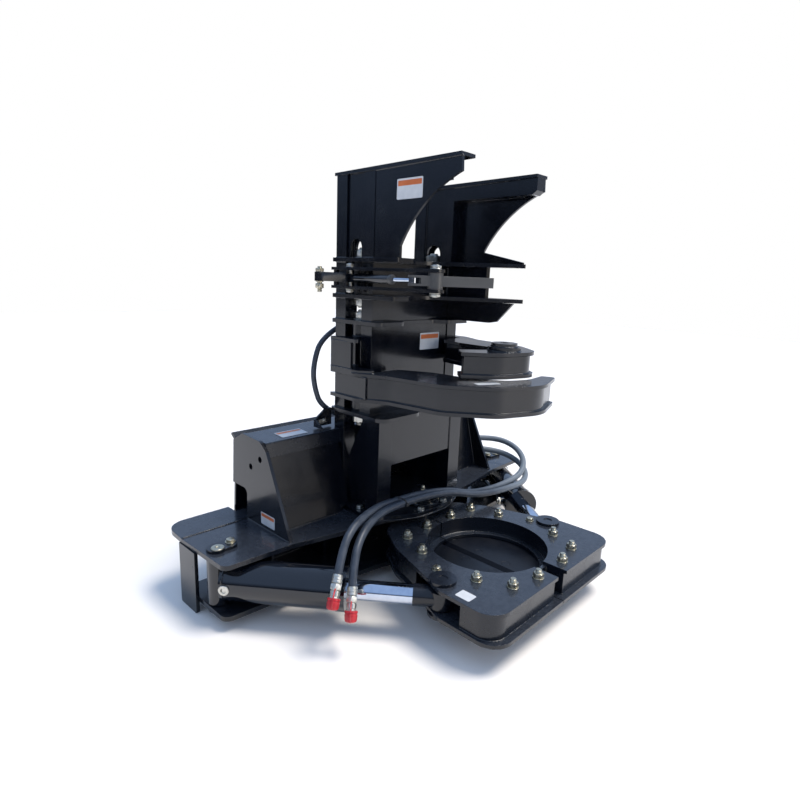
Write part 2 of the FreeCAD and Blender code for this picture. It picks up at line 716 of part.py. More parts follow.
def base_pin():
    x, y = CYL_BASE
    shaft = rod_z(x, y, LOWER_Z - 10, DECK_TOP + 10, BASE_PIN_R)
    corners = [(x + u, y + v, 25) for u, v in ((-30, -18), (-30, 38), (70, 38), (70, -18))]
    keeper = plate(corners, DECK_TOP, DECK_TOP + 10)
    bolt = hexagon(x + 52, y + 14, DECK_TOP + 10, DECK_TOP + 18, HEX_M16)
    foot = rod_z(x, y, LOWER_Z - 10, LOWER_Z, BASE_PIN_R + 12)
    return joined([shaft, keeper, bolt, foot])


def make_cylinders():
    barrel = jaw_barrel()
    rod = jaw_rod()
    pin = jaw_pin()
    save("jaw_barrel_left", barrel)
    save("jaw_barrel_right", mirrored(barrel))
    save("jaw_rod_left", rod)
    save("jaw_rod_right", mirrored(rod))
    save("jaw_pin_left", pin)
    save("jaw_pin_right", mirrored(pin))
    keeper = base_pin()
    save("base_pins", Part.Compound([keeper, mirrored(keeper)]))


def left_arm_outline():
    return NECK + [
        (-252, -110, 60), (-222, -330, 120), (-110, -470, 110), (60, -532, 150), (236, -470, 14),
        (218, -424, 10), (110, -438, 120), (24, -404, 70), (-44, -290, 110), (-60, -150, 100),
        (-122, -32, 30)]


def right_arm_outline():
    return NECK + [
        (-252, -110, 60), (-216, -330, 110), (-112, -466, 80), (40, -420, 130), (128, -322, 8),
        (74, -268, 8),
        (-10, -340, 70), (-84, -300, 90), (-90, -150, 80), (-122, -32, 30)]


def arm_body(corners, span, hub_top):
    z0, z1 = span
    low = plate(corners, z0, z0 + FLANGE_T)
    high = plate(corners, z1 - FLANGE_T, z1)
    crescent = [(-242, -32, 0), (-304, -32, 0)] + corners[len(NECK):]
    wall = wall_band(crescent, 12, 9, z0 + FLANGE_T, z1 - FLANGE_T)
    cheek = block(-292, -283, -46, 112, z0 + FLANGE_T, z1 - FLANGE_T)
    wall = wall.fuse(cheek)
    hub = rod_z(-HUB_X, HUB_Y, ARM_FLOOR_Z + SHELF_T + RUN_GAP, hub_top, ARM_HUB_R)
    shape = joined([low, high, wall, hub])
    cranks = []
    for z in (LINK_Z - 23, LINK_Z + 11):
        arm = joined([
            rod_z(-CRANK_X, CRANK_Y, z, z + 12, 18),
            plate(bar_outline((-HUB_X, HUB_Y), (-CRANK_X, CRANK_Y), 13), z, z + 12),
        ])
        cranks.append(arm)
    shape = joined([shape] + cranks)
    shape = shape.cut(rod_z(-HUB_X, HUB_Y, 0, MAST_TOP, BOLT_R + PIN_GAP))
    return shape


def tail_riser():
    """Raised tail of the left arm: an upper bar over a short upright plate."""
    bar = plate(NECK[1:] + [(-286, -8, 0), (-262, 40, 0)], 884, 896)
    upright = block(-300, -291, 24, 132, LEFT_ARM_Z[1], 884)
    return bar.fuse(upright)


def make_arms():
    left = arm_body(left_arm_outline(), LEFT_ARM_Z, ARM_CEIL_Z - RUN_GAP)
    hub_plate = plate(NECK + [(-258, -60, 20)], LEFT_ARM_Z[1], LEFT_ARM_Z[1] + HUB_PLATE_T)
    left = joined([left, hub_plate, tail_riser().cut(rod_z(-HUB_X, HUB_Y, 0, MAST_TOP, ARM_HUB_R - 2))])
    left = left.cut(rod_z(-HUB_X, HUB_Y, 0, MAST_TOP, BOLT_R + PIN_GAP))
    pin = rod_z(-CRANK_X, CRANK_Y, LINK_Z - 26, LINK_Z + 26, 10)
    save("arm_left", joined([left, pin]))
    right = arm_body(right_arm_outline(), RIGHT_ARM_Z, ARM_CEIL_Z - RUN_GAP)
    z = RIGHT_ARM_Z[1]
    boss = rod_z(-44, -372, z, z + 14, 56).fuse(rod_z(-44, -372, z, z + 26, 44))
    right = joined([right, boss]).cut(rod_z(-44, -372, z + 12, z + 27, 14))
    save("arm_right", mirrored(joined([right, pin])))

    eye = rod_z(-CRANK_X, CRANK_Y, LINK_Z - 10, LINK_Z + 10, 18)
    neck = rod_between(V(-CRANK_X + 10, CRANK_Y, LINK_Z), V(-CRANK_X + 40, CRANK_Y, LINK_Z), 9.5)
    shell = rod_between(V(-CRANK_X + 32, CRANK_Y, LINK_Z), V(60, CRANK_Y, LINK_Z), 28)
    barrel = joined([eye, neck, shell])
    barrel = barrel.cut(rod_between(V(-CRANK_X + 44, CRANK_Y, LINK_Z), V(46, CRANK_Y, LINK_Z), 22))
    barrel = barrel.cut(rod_between(V(20, CRANK_Y, LINK_Z), V(70, CRANK_Y, LINK_Z), 13 + PIN_GAP))
    save("arm_barrel", barrel.cut(rod_z(-CRANK_X, CRANK_Y, LINK_Z - 30, LINK_Z + 30, 10 + PIN_GAP)))
    shaft = rod_between(V(16, CRANK_Y, LINK_Z), V(CRANK_X - 8, CRANK_Y, LINK_Z), 13)
    slim = shaft.common(block(0, CRANK_X - 44, 0, 300, 0, 1000))
    tongue = rod_between(V(CRANK_X - 45, CRANK_Y, LINK_Z), V(CRANK_X - 8, CRANK_Y, LINK_Z), 9.5)
    piston = rod_between(V(14, CRANK_Y, LINK_Z), V(34, CRANK_Y, LINK_Z), 22 - PIN_GAP)
    rod = joined([slim, tongue, piston, rod_z(CRANK_X, CRANK_Y, LINK_Z - 10, LINK_Z + 10, 20)])
    save("arm_rod", rod.cut(rod_z(CRANK_X, CRANK_Y, LINK_Z - 30, LINK_Z + 30, 10 + LINK_PLAY)))


def upper_arm():
    strap = NECK + [(-256, -110, 60), (-246, -300, 26), (-192, -306, 26), (-196, -200, 60), (-226, -100, 60)]
    z0, z1 = UPPER_ARM_Z
    low = plate(strap, z0, z0 + STRAP_T)
    high = plate(strap, z1 - STRAP_T, z1)
    hub = rod_z(-HUB_X, HUB_Y, SHELF_LOW_Z + SHELF_T + RUN_GAP, SHELF_TOP_Z - RUN_GAP, ARM_HUB_R)
    spacer = rod_z(-290, 118, z0 + STRAP_T, z1 - STRAP_T, 9)
    shape = joined([low, high, hub, spacer])
    shape = shape.cut(rod_z(-HUB_X, HUB_Y, 1000, 1200, BOLT_R + PIN_GAP))
    shape = shape.cut(rod_z(FRONT_XY[0], FRONT_XY[1], 1000, 1200, 10 + PIN_GAP))
    return shape.cut(rod_z(RAM_BASE[0], RAM_BASE[1], 1000, 1200, 8 + PIN_GAP))


def long_bolt(x, y, z0, z1, r, across):
    return joined([
        rod_z(x, y, z0 - 14, z1 + 14, r),
        hexagon(x, y, z0 - 12, z0, across),
        hexagon(x, y, z1, z1 + 12, across),
    ])


def bar_outline(a, b, half):
    way = V(b[0] - a[0], b[1] - a[1], 0).normalize()
    n = V(-way.y, way.x, 0) * half
    near = [(a[0] + n.x, a[1] + n.y, 0), (a[0] - n.x, a[1] - n.y, 0)]
    far = [(b[0] - n.x, b[1] - n.y, 0), (b[0] + n.x, b[1] + n.y, 0)]
    return near + far


def finger():
    z0, z1 = FINGER_Z
    bar = plate(bar_outline(FRONT_XY, FINGER_TIP, 19), z0, z1)
    inside = STRAP_T + RUN_GAP
    boss = rod_z(FRONT_XY[0], FRONT_XY[1], UPPER_ARM_Z[0] + inside, UPPER_ARM_Z[1] - inside, 24)
    lever = joined([
        plate(bar_outline(FRONT_XY, RAM_EYE, 15), z0, z1),
        rod_z(RAM_EYE[0], RAM_EYE[1], z0, z1, 15),
    ])
    slot = rod_z(RAM_EYE[0], RAM_EYE[1], RAM_Z - 9, RAM_Z + 9, 27)
    shape = joined([bar, boss, lever]).cut(slot)
    shape = joined([shape, rod_z(RAM_EYE[0], RAM_EYE[1], z0, z1, 6)])
    return shape.cut(rod_z(FRONT_XY[0], FRONT_XY[1], 1000, 1200, 10 + PIN_GAP))


def ram_point(distance):
    a = V(RAM_BASE[0], RAM_BASE[1], RAM_Z)
    b = V(RAM_EYE[0], RAM_EYE[1], RAM_Z)
    return a.add(b.sub(a).normalize() * distance)


def make_ram():
    length = ram_point(0).distanceToPoint(V(RAM_EYE[0], RAM_EYE[1], RAM_Z))
    eye = rod_z(RAM_BASE[0], RAM_BASE[1], RAM_Z - 14, RAM_Z + 14, 15)
    shell = rod_between(ram_point(12), ram_point(196), 14)
    barrel = joined([eye, shell])
    barrel = barrel.cut(rod_between(ram_point(30), ram_point(188), 11))
    barrel = barrel.cut(rod_between(ram_point(150), ram_point(200), 7 + PIN_GAP))
    save("finger_ram_barrel", barrel.cut(rod_z(RAM_BASE[0], RAM_BASE[1], 1000, 1200, 8 + PIN_GAP)))
    shaft = rod_between(ram_point(150), ram_point(length - 6), 7)
    piston = rod_between(ram_point(146), ram_point(166), 11 - PIN_GAP)
    tip = rod_z(RAM_EYE[0], RAM_EYE[1], RAM_Z - 8, RAM_Z + 8, 13)
    rod = joined([shaft, piston, tip])
    save("finger_ram_rod", rod.cut(rod_z(RAM_EYE[0], RAM_EYE[1], 1000, 1200, 6 + RAM_PLAY)))


def make_upper_arm():
    save("upper_arm", upper_arm())
    save("finger", finger())
    make_ram()
    z0, z1 = UPPER_ARM_Z
    bolts = [
        long_bolt(FRONT_XY[0], FRONT_XY[1], z0, z1, 10, HEX_M20),
        long_bolt(RAM_BASE[0], RAM_BASE[1], z0, z1, 8, HEX_M16),
    ]
    save("upper_arm_bolts", Part.Compound(bolts))


def make_pivot_bolts():
    low = joined([
        rod_z(-HUB_X, HUB_Y, 560, 990, BOLT_R),
        hexagon(-HUB_X, HUB_Y, ARM_FLOOR_Z - 34, ARM_FLOOR_Z, HEX_M36),
        hexagon(-HUB_X, HUB_Y, ARM_CEIL_Z + SHELF_T, ARM_CEIL_Z + SHELF_T + 28, HEX_M36),
    ])
    save("arm_bolts", Part.Compound([low, mirrored(low)]))
    high = joined([
        rod_z(-HUB_X, HUB_Y, 996, 1206, BOLT_R),
        hexagon(-HUB_X, HUB_Y, SHELF_LOW_Z - 28, SHELF_LOW_Z, HEX_M36),
        hexagon(-HUB_X, HUB_Y, SHELF_TOP_Z + SHELF_T, SHELF_TOP_Z + SHELF_T + 29, HEX_M36),
    ])
    save("upper_bolts", Part.Compound([high, mirrored(high)]))
    bolts = []
    for x, y in DOUBLER_BOLTS:
        shank = rod_z(x, y, DECK_TOP, DOUBLER_TOP, 8)
        head = hexagon(x, y, DOUBLER_TOP, DOUBLER_TOP + 10, HEX_M16)
        bolts.append(joined([shank, head]))
    save("doubler_bolts", Part.Compound(bolts))


def hose(name, points, radius):
    """Round hose through hand-chosen points: straight runs joined by tangent arcs."""
    spots = [V(*p) for p in points]
    edges = []
    radii = []
    start = spots[0]
    for k in range(1, len(spots) - 1):
        back = spots[k - 1].sub(spots[k])
        ahead = spots[k + 1].sub(spots[k])
        turn = math.pi - back.getAngle(ahead)
        reach = 0.45 * min(back.Length, ahead.Length)
        bend = reach / math.tan(turn / 2)
        radii.append(round(bend))
        back.normalize()
        ahead.normalize()
        first = spots[k].add(back * reach)
        last = spots[k].add(ahead * reach)
        inward = back.add(ahead).normalize()
        bulge = spots[k].add(inward * (bend / math.cos(turn / 2) - bend))
        edges.append(Part.LineSegment(start, first).toShape())
        edges.append(Part.Arc(first, bulge, last).toShape())
        start = last
    edges.append(Part.LineSegment(start, spots[-1]).toShape())
    path = Part.Wire(edges)
    ring = Part.Wire([Part.Circle(spots[0], spots[1].sub(spots[0]), radius).toShape()])
    tube = path.makePipeShell([ring], True, False)
    ratio = tube.Volume / (math.pi * radius * radius * path.Length)
    print(name, "length", round(path.Length), "bend radii", radii, "volume ratio", round(ratio, 4))
    save(name, tube)
    return spots


def end_way(points):
    return V(*points[-1]).sub(V(*points[-2])).normalize()


def coupler(points):
    end = V(*points[-1])
    way = end_way(points)
    sleeve = rod_between(end, end.add(way * 30), HOSE_R + 3)
    nut = rod_between(end.add(way * 24), end.add(way * 44), 18)
    body = rod_between(end.add(way * 40), end.add(way * COUPLER_L), COUPLER_R)
    return joined([sleeve, nut, body])


def cap(points):
    end = V(*points[-1])
    way = end_way(points)
    low = end.add(way * (COUPLER_L - 8))
    shell = rod_between(low, low.add(way * CAP_L), 20)
    return shell.cut(rod_between(low.sub(way), low.add(way * 8), COUPLER_R + PIN_GAP))


def rear_fitting(points, first):
    spot = V(*(points[0] if first else points[-1]))
    other = V(*(points[1] if first else points[-2]))
    way = spot.sub(other).normalize()
    stub = rod_between(spot, spot.add(way * FITTING_L), REAR_HOSE_R + 4)
    x = spot.x + 14
    z = spot.z + way.z * 14
    foot = rod_between(V(x, REAR_POST_Y + POST, z), V(x, spot.y + 6, z), 11)
    return stub.fuse(foot).removeSplitter()


def make_hoses():
    hose("rear_hose", REAR_HOSE, REAR_HOSE_R)
    save("rear_fittings", Part.Compound([rear_fitting(REAR_HOSE, True), rear_fitting(REAR_HOSE, False)]))
    hose("hose_left", HOSE_LEFT, HOSE_R)
    hose("hose_right", HOSE_RIGHT, HOSE_R)
    ports = []
    for points in (HOSE_LEFT, HOSE_RIGHT):
        spot = V(*points[0])
        way = spot.sub(V(*points[1])).normalize()
        stub = rod_between(spot, spot.add(way * FITTING_L), HOSE_R + 3)
        foot = rod_between(V(BOX_HALF, spot.y + 10, spot.z), V(spot.x - 8, spot.y + 10, spot.z), 15)
        ports.append(joined([stub, foot]).cut(block(0, BOX_HALF, 0, 300, 0, 600)))
    save("hose_ports", Part.Compound(ports))
    save("couplers", Part.Compound([coupler(HOSE_LEFT), coupler(HOSE_RIGHT)]))
    save("coupler_caps", Part.Compound([cap(HOSE_LEFT), cap(HOSE_RIGHT)]))


make_deck()
make_doubler()
make_lower_deck()
make_end_plates()
make_housing()
make_hitch()
make_mast()
make_jaws()
make_main_pin()
make_cylinders()
make_arms()
make_upper_arm()
make_pivot_bolts()
make_hoses()
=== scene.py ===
# %% [markdown]
# # Tree shear on a machine plate
#
# The steel frame comes in ready made, with its real sizes and joints. This lesson
# dresses it: paint, welds, nuts, pins, hoses and small fittings, one piece at a time.
# Each explanation says what the piece is, how it could be made, and why it is made
# this way. Lengths in the code are millimetres, turned into metres by `at`.

# %% Load the frame
import math
import random

import bmesh
import bpy
from mathutils import Matrix, Vector


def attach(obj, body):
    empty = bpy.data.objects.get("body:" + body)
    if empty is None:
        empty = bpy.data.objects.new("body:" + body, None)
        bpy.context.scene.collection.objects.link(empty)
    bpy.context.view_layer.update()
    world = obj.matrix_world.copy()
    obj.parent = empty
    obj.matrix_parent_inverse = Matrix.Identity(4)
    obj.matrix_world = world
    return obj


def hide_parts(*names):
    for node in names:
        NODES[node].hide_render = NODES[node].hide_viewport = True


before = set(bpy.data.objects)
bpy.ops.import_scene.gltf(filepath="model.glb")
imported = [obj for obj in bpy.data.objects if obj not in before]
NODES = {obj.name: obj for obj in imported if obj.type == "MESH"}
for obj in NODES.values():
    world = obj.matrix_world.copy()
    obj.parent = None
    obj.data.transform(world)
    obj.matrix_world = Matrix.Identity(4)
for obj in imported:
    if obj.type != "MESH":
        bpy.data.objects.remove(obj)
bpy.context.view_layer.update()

print("frame nodes:", len(NODES))

# %% [markdown]
# ## One ruler
#
# The steel was drawn with its zero line where the housing meets the deck. The whole
# part was then moved back by 145 mm so that its origin lies under the middle. Keeping
# the drawing's own numbers here means that a nut can be placed where the drawing has
# its hole, with no second set of figures.

# %% From drawing millimetres to scene metres
SHIFT_Y = 145.0


def at(x, y, z):
    return Vector((x / 1000, (y + SHIFT_Y) / 1000, z / 1000))


def drawn(spot):
    """The way back: a place in the scene, in millimetres of the drawing."""
    return Vector((spot.x * 1000, spot.y * 1000 - SHIFT_Y, spot.z * 1000))


UP = Vector((0, 0, 1))
print("main hinge at", tuple(round(v, 3) for v in at(0, -75, 0)))

# %% [markdown]
# ## Camera
#
# The photograph is taken from the left front corner, a little above the jaws. Its
# angle was found by matching known corners of the steel. The camera could be aimed
# with a constraint, but three written directions keep the small roll of a hand-held
# picture as well.

# %% Camera at the photograph's angle
AZ = math.radians(-46.28)
EL = math.radians(12.3)
ROLL = math.radians(2.1)
right = Vector((math.cos(AZ), math.sin(AZ), 0))
back = Vector((math.sin(AZ) * math.cos(EL), -math.cos(AZ) * math.cos(EL), math.sin(EL)))
over = back.cross(right)
cam_x = math.cos(ROLL) * right + math.sin(ROLL) * over
cam_y = -math.sin(ROLL) * right + math.cos(ROLL) * over
place = Matrix((cam_x, cam_y, back)).transposed().to_4x4()
place.translation = Vector((-1.5597, -1.2799, 1.1037))
lens = bpy.data.cameras.new("camera")
lens.sensor_width = 36.0
lens.lens = 25.016
camera = bpy.data.objects.new("camera", lens)
camera.matrix_world = place
bpy.context.scene.collection.objects.link(camera)
bpy.context.scene.camera = camera
print("camera stands at", tuple(round(v, 3) for v in camera.location))

# %% [markdown]
# ## Paint, metal and rubber
#
# The steel wears a gloss black coat that shows the sky on its tops and goes dark on
# its sides. Every finish is a small net of nodes: noise shifts the colour a little,
# noise on the upward faces lays a pale blue-grey film that is part dust and part
# painted sky sheen, and a fine bump gives the coat its orange peel. A plain colour
# would be quicker, but large plates would look like card.
# A rounded-edge normal catches light along the cut edges, as a sprayed edge does.

# %% Node helpers
class Net:
    """A material under construction: nodes are added by kind and linked by socket name."""

    def __init__(self, name):
        self.mat = bpy.data.materials.new(name)
        self.mat.use_nodes = True
        self.tree = self.mat.node_tree
        self.shader = self.tree.nodes["Principled BSDF"]

    def node(self, kind, **values):
        made = self.tree.nodes.new("ShaderNode" + kind)
        for key, value in values.items():
            if key in made.inputs:
                made.inputs[key].default_value = value
            else:
                setattr(made, key, value)
        return made

    def link(self, source, socket, target, name):
        self.tree.links.new(source.outputs[socket], target.inputs[name])

    def set(self, **values):
        for key, value in values.items():
            self.shader.inputs[key.replace("_", " ")].default_value = value

    def noise(self, scale, detail=4.0, roughness=0.5):
        where = self.node("TexCoord")
        made = self.node("TexNoise", Scale=scale, Detail=detail, Roughness=roughness)
        self.link(where, "Object", made, "Vector")
        return made

    def ramp(self, source, socket, low, high, first, last):
        """Colour ramp from first to last between two positions of the source."""
        made = self.node("ValToRGB")
        self.link(source, socket, made, "Fac")
        stops = made.color_ramp.elements
        stops[0].position = low
        stops[1].position = high
        stops[0].color = first if len(first) == 4 else (*first, 1)
        stops[1].color = last if len(last) == 4 else (*last, 1)
        return made

    def grey(self, source, socket, low, high, first, last):
        return self.ramp(source, socket, low, high, (first,) * 3, (last,) * 3)

    def mix(self, factor, first, last):
        """Mix two colours; each of the three is a (node, socket) pair or a plain value."""
        made = self.node("Mix", data_type="RGBA")
        for index, given in ((0, factor), (6, first), (7, last)):
            if isinstance(given, tuple) and isinstance(given[1], str):
                self.tree.links.new(given[0].outputs[given[1]], made.inputs[index])
            elif index:
                made.inputs[index].default_value = (*given, 1)
            else:
                made.inputs[index].default_value = given
        return made, 2

    def out(self, made, name):
        self.tree.links.new(made[0].outputs[made[1]], self.shader.inputs[name])


def upward(net, low, high):
    """0 on walls and undersides, 1 on faces that look up."""
    shape = net.node("NewGeometry")
    split = net.node("SeparateXYZ")
    net.link(shape, "Normal", split, "Vector")
    return net.grey(split, "Z", low, high, 0.0, 1.0)


def peel(net, strength, scale=260.0, radius=0.0):
    """Orange peel over an optional rounded edge, wired to the shader's normal."""
    fine = net.noise(scale, 2.0)
    bump = net.node("Bump", Strength=strength, Distance=0.0006)
    net.link(fine, "Fac", bump, "Height")
    if radius:
        edge = net.node("Bevel", Radius=radius, samples=4)
        net.link(edge, "Normal", bump, "Normal")
    net.link(bump, "Normal", net.shader, "Normal")


# Pale blue-grey mixed onto upward faces: part dust, part painted sky sheen on the tops.
DUST_AND_SKY_SHEEN = (0.085, 0.095, 0.115)


def painted(name, dark, light, dust_and_sheen, gloss=(0.16, 0.3), coat=0.35):
    net = Net(name)
    broad = net.noise(5.0, 5.0)
    body = net.ramp(broad, "Fac", 0.35, 0.68, dark, light)
    top = upward(net, 0.55, 0.95)
    spots = net.noise(70.0, 9.0, 0.7)
    # This film on upward faces stands for dust and for a painted sky sheen.
    dust_and_sheen_film = net.grey(spots, "Fac", 0.34, 0.72, 0.35 * dust_and_sheen, dust_and_sheen)
    both = net.node("Math", operation="MULTIPLY")
    net.link(dust_and_sheen_film, "Color", both, 0)
    net.link(top, "Color", both, 1)
    net.out(net.mix((both, "Value"), (body, "Color"), DUST_AND_SKY_SHEEN), "Base Color")
    smear = net.noise(11.0, 6.0, 0.6)
    rough = net.grey(smear, "Fac", 0.35, 0.7, *gloss)
    net.link(rough, "Color", net.shader, "Roughness")
    net.set(Coat_Weight=coat, Coat_Roughness=0.06, IOR=1.45)
    peel(net, 0.12, 240.0, 0.0016)
    return net.mat


def metal(name, first, last, rough, streak=60.0, bump=0.15):
    net = Net(name)
    patches = net.noise(streak, 6.0, 0.6)
    tone = net.ramp(patches, "Fac", 0.36, 0.66, first, last)
    net.link(tone, "Color", net.shader, "Base Color")
    wear = net.grey(patches, "Fac", 0.3, 0.7, *rough)
    net.link(wear, "Color", net.shader, "Roughness")
    net.set(Metallic=1.0)
    peel(net, bump, streak * 9, 0.0008)
    return net.mat


def rubber(name, first, last, rough, scale, bump, paler_past_x=None):
    """The last argument, if given, is (start, end, colour): past that place along the scene's X axis the
    colour turns to the paler one.
    """
    net = Net(name)
    spots = net.noise(scale, 5.0, 0.55)
    tone = net.ramp(spots, "Fac", 0.34, 0.68, first, last)
    net.link(tone, "Color", net.shader, "Base Color")
    if paler_past_x:
        start, end, colour = paler_past_x
        where = net.node("TexCoord")
        split = net.node("SeparateXYZ")
        net.link(where, "Object", split, "Vector")
        share = net.grey(split, "X", start, end, 0.0, 1.0)
        net.out(net.mix((share, "Color"), (tone, "Color"), colour), "Base Color")
    wear = net.grey(spots, "Fac", 0.3, 0.7, *rough)
    net.link(wear, "Color", net.shader, "Roughness")
    peel(net, bump, 700.0)
    return net.mat


# %% [markdown]
# ## The finishes of this part
#
# Nearly everything is one black coat, so the differences are small: the deck, the jaws
# and the housing cover are paler and carry more of the upward film, part dust and part
# painted sky sheen on their tops; the cylinders are glossier, weld beads a little paler.
# Nuts are zinc, those of the jaws yellowed. One shared black would be less work, but
# then the deck, the cylinders and the mast would melt into each other.

# %% The finishes
BLACK = painted("black_paint", (0.0018, 0.0028, 0.0058), (0.0034, 0.0048, 0.0088),
                0.12, (0.16, 0.28), 0.2)
# Paler paint for the deck, jaws and cover: its larger upward film is part dust and part painted sky sheen
# on their tops.
DUST_AND_SHEEN_PAINT = painted("dust_and_sheen_paint", (0.0034, 0.0050, 0.0090), (0.0064, 0.0086, 0.0140),
                  0.42, (0.2, 0.34), 0.25)
GLOSS = painted("cylinder_paint", (0.0016, 0.0026, 0.0056), (0.0030, 0.0044, 0.0084),
                0.05, (0.06, 0.12), 0.6)
DARK = painted("blade_paint", (0.0012, 0.0022, 0.0056), (0.0024, 0.0038, 0.0080),
               0.0, (0.34, 0.5), 0.0)
SEAM = painted("weld_paint", (0.0030, 0.0042, 0.0070), (0.0060, 0.0075, 0.0110),
               0.1, (0.12, 0.22), 0.4)
GREY = painted("grey_paint", (0.05, 0.05, 0.05), (0.08, 0.078, 0.075),
               0.3, (0.3, 0.45), 0.1)
# The blue tint in the chrome's base colour is a painted sky reflection; the rest is the metal itself.
CHROME = metal("chrome", (0.50, 0.56, 0.66), (0.60, 0.65, 0.74), (0.05, 0.1), 22.0, 0.01)
ZINC = metal("zinc", (0.50, 0.49, 0.44), (0.66, 0.65, 0.60), (0.26, 0.42), 120.0)
YELLOW = metal("yellow_zinc", (0.44, 0.40, 0.29), (0.66, 0.61, 0.48), (0.24, 0.42), 130.0)
# Past 0.30 to 0.50 m along the scene's X axis the hose colour turns to a paler blue-grey.
HOSE = rubber("hose_rubber", (0.022, 0.030, 0.044), (0.045, 0.056, 0.075), (0.36, 0.52), 40.0, 0.25,
              (0.30, 0.50, (0.15, 0.175, 0.20)))
RED = rubber("cap_red", (0.40, 0.010, 0.018), (0.55, 0.022, 0.03), (0.3, 0.45), 50.0, 0.12)
TIE = rubber("tie_black", (0.010, 0.010, 0.011), (0.02, 0.02, 0.021), (0.3, 0.45), 90.0, 0.1)
PAPER = rubber("decal_white", (0.58, 0.585, 0.59), (0.68, 0.68, 0.675), (0.3, 0.42), 30.0, 0.04)
ORANGE = rubber("decal_orange", (0.55, 0.13, 0.03), (0.63, 0.17, 0.05), (0.3, 0.42), 30.0, 0.04)
print("finishes:", len(bpy.data.materials))

# %% [markdown]
# ## Hoses first
#
# Two wrapped rubber hoses leave the right side of the housing, swing round the front
# of the mast and hang over the left jaw cylinder to their couplers. They are curves
# through listed points, straight runs joined by smooth bends. They are laid before
# the small parts that sit on them.

# %% The two free hoses and the short one behind the mast
HOSE_R = 0.013
HOSE_LEFT = [
    at(612, 150, 345), at(690, 84, 350), at(716, -22, 334), at(674, -116, 296), at(580, -166, 256),
    at(460, -164, 238), at(330, -158, 238), at(205, -146, 252), at(80, -130, 292), at(-60, -122, 312),
    at(-200, -126, 322), at(-300, -146, 338), at(-396, -184, 349), at(-484, -216, 344), at(-551, -243, 303),
    at(-586, -265, 236)]
HOSE_RIGHT = [
    at(612, 120, 300), at(680, 52, 294), at(700, -52, 272), at(656, -142, 244), at(566, -190, 226),
    at(450, -194, 230), at(330, -188, 236), at(205, -175, 252), at(80, -159, 292), at(-60, -151, 312),
    at(-200, -157, 322), at(-298, -172, 330), at(-388, -204, 334), at(-470, -238, 318), at(-531, -273, 271),
    at(-558, -299, 200)]
REAR_HOSE = [
    at(-186, 212, 922), at(-272, 222, 882), at(-304, 228, 784),
    at(-304, 228, 708), at(-272, 222, 610), at(-186, 212, 572)]


def hose(name, points, radius, node):
    curve = bpy.data.curves.new(name, "CURVE")
    curve.dimensions = "3D"
    curve.bevel_depth = radius
    curve.bevel_resolution = 5
    curve.use_fill_caps = True
    line = curve.splines.new("NURBS")
    line.points.add(len(points) - 1)
    for spot, point in zip(line.points, points):
        spot.co = (*point, 1)
    line.order_u = 3
    line.use_endpoint_u = True
    line.resolution_u = 12
    curve.materials.append(HOSE)
    made = bpy.data.objects.new(name, curve)
    bpy.context.scene.collection.objects.link(made)
    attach(made, "frame")
    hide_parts(node)
    return made


hoses = [
    hose("wrapped_hose_left", HOSE_LEFT, HOSE_R, "hose_left"),
    hose("wrapped_hose_right", HOSE_RIGHT, HOSE_R, "hose_right"),
]
hose("mast_hose", REAR_HOSE, 0.010, "rear_hose")
print("hoses laid:", len(hoses) + 1)

# %% [markdown]
# ## Tools for turned, hexagonal and welded shapes
#
# Most small parts are turned: a list of heights and radii is spun round an axis. The
# same tool makes a nut when the radius is held inside a hexagon, and a screw end when
# it rises and falls along a helix. A weld is a thin round bead with ripples, laid
# along a path. Ready-made screws from a catalogue could be pasted in, but these match
# the drilled holes and carry no thread that nobody sees.

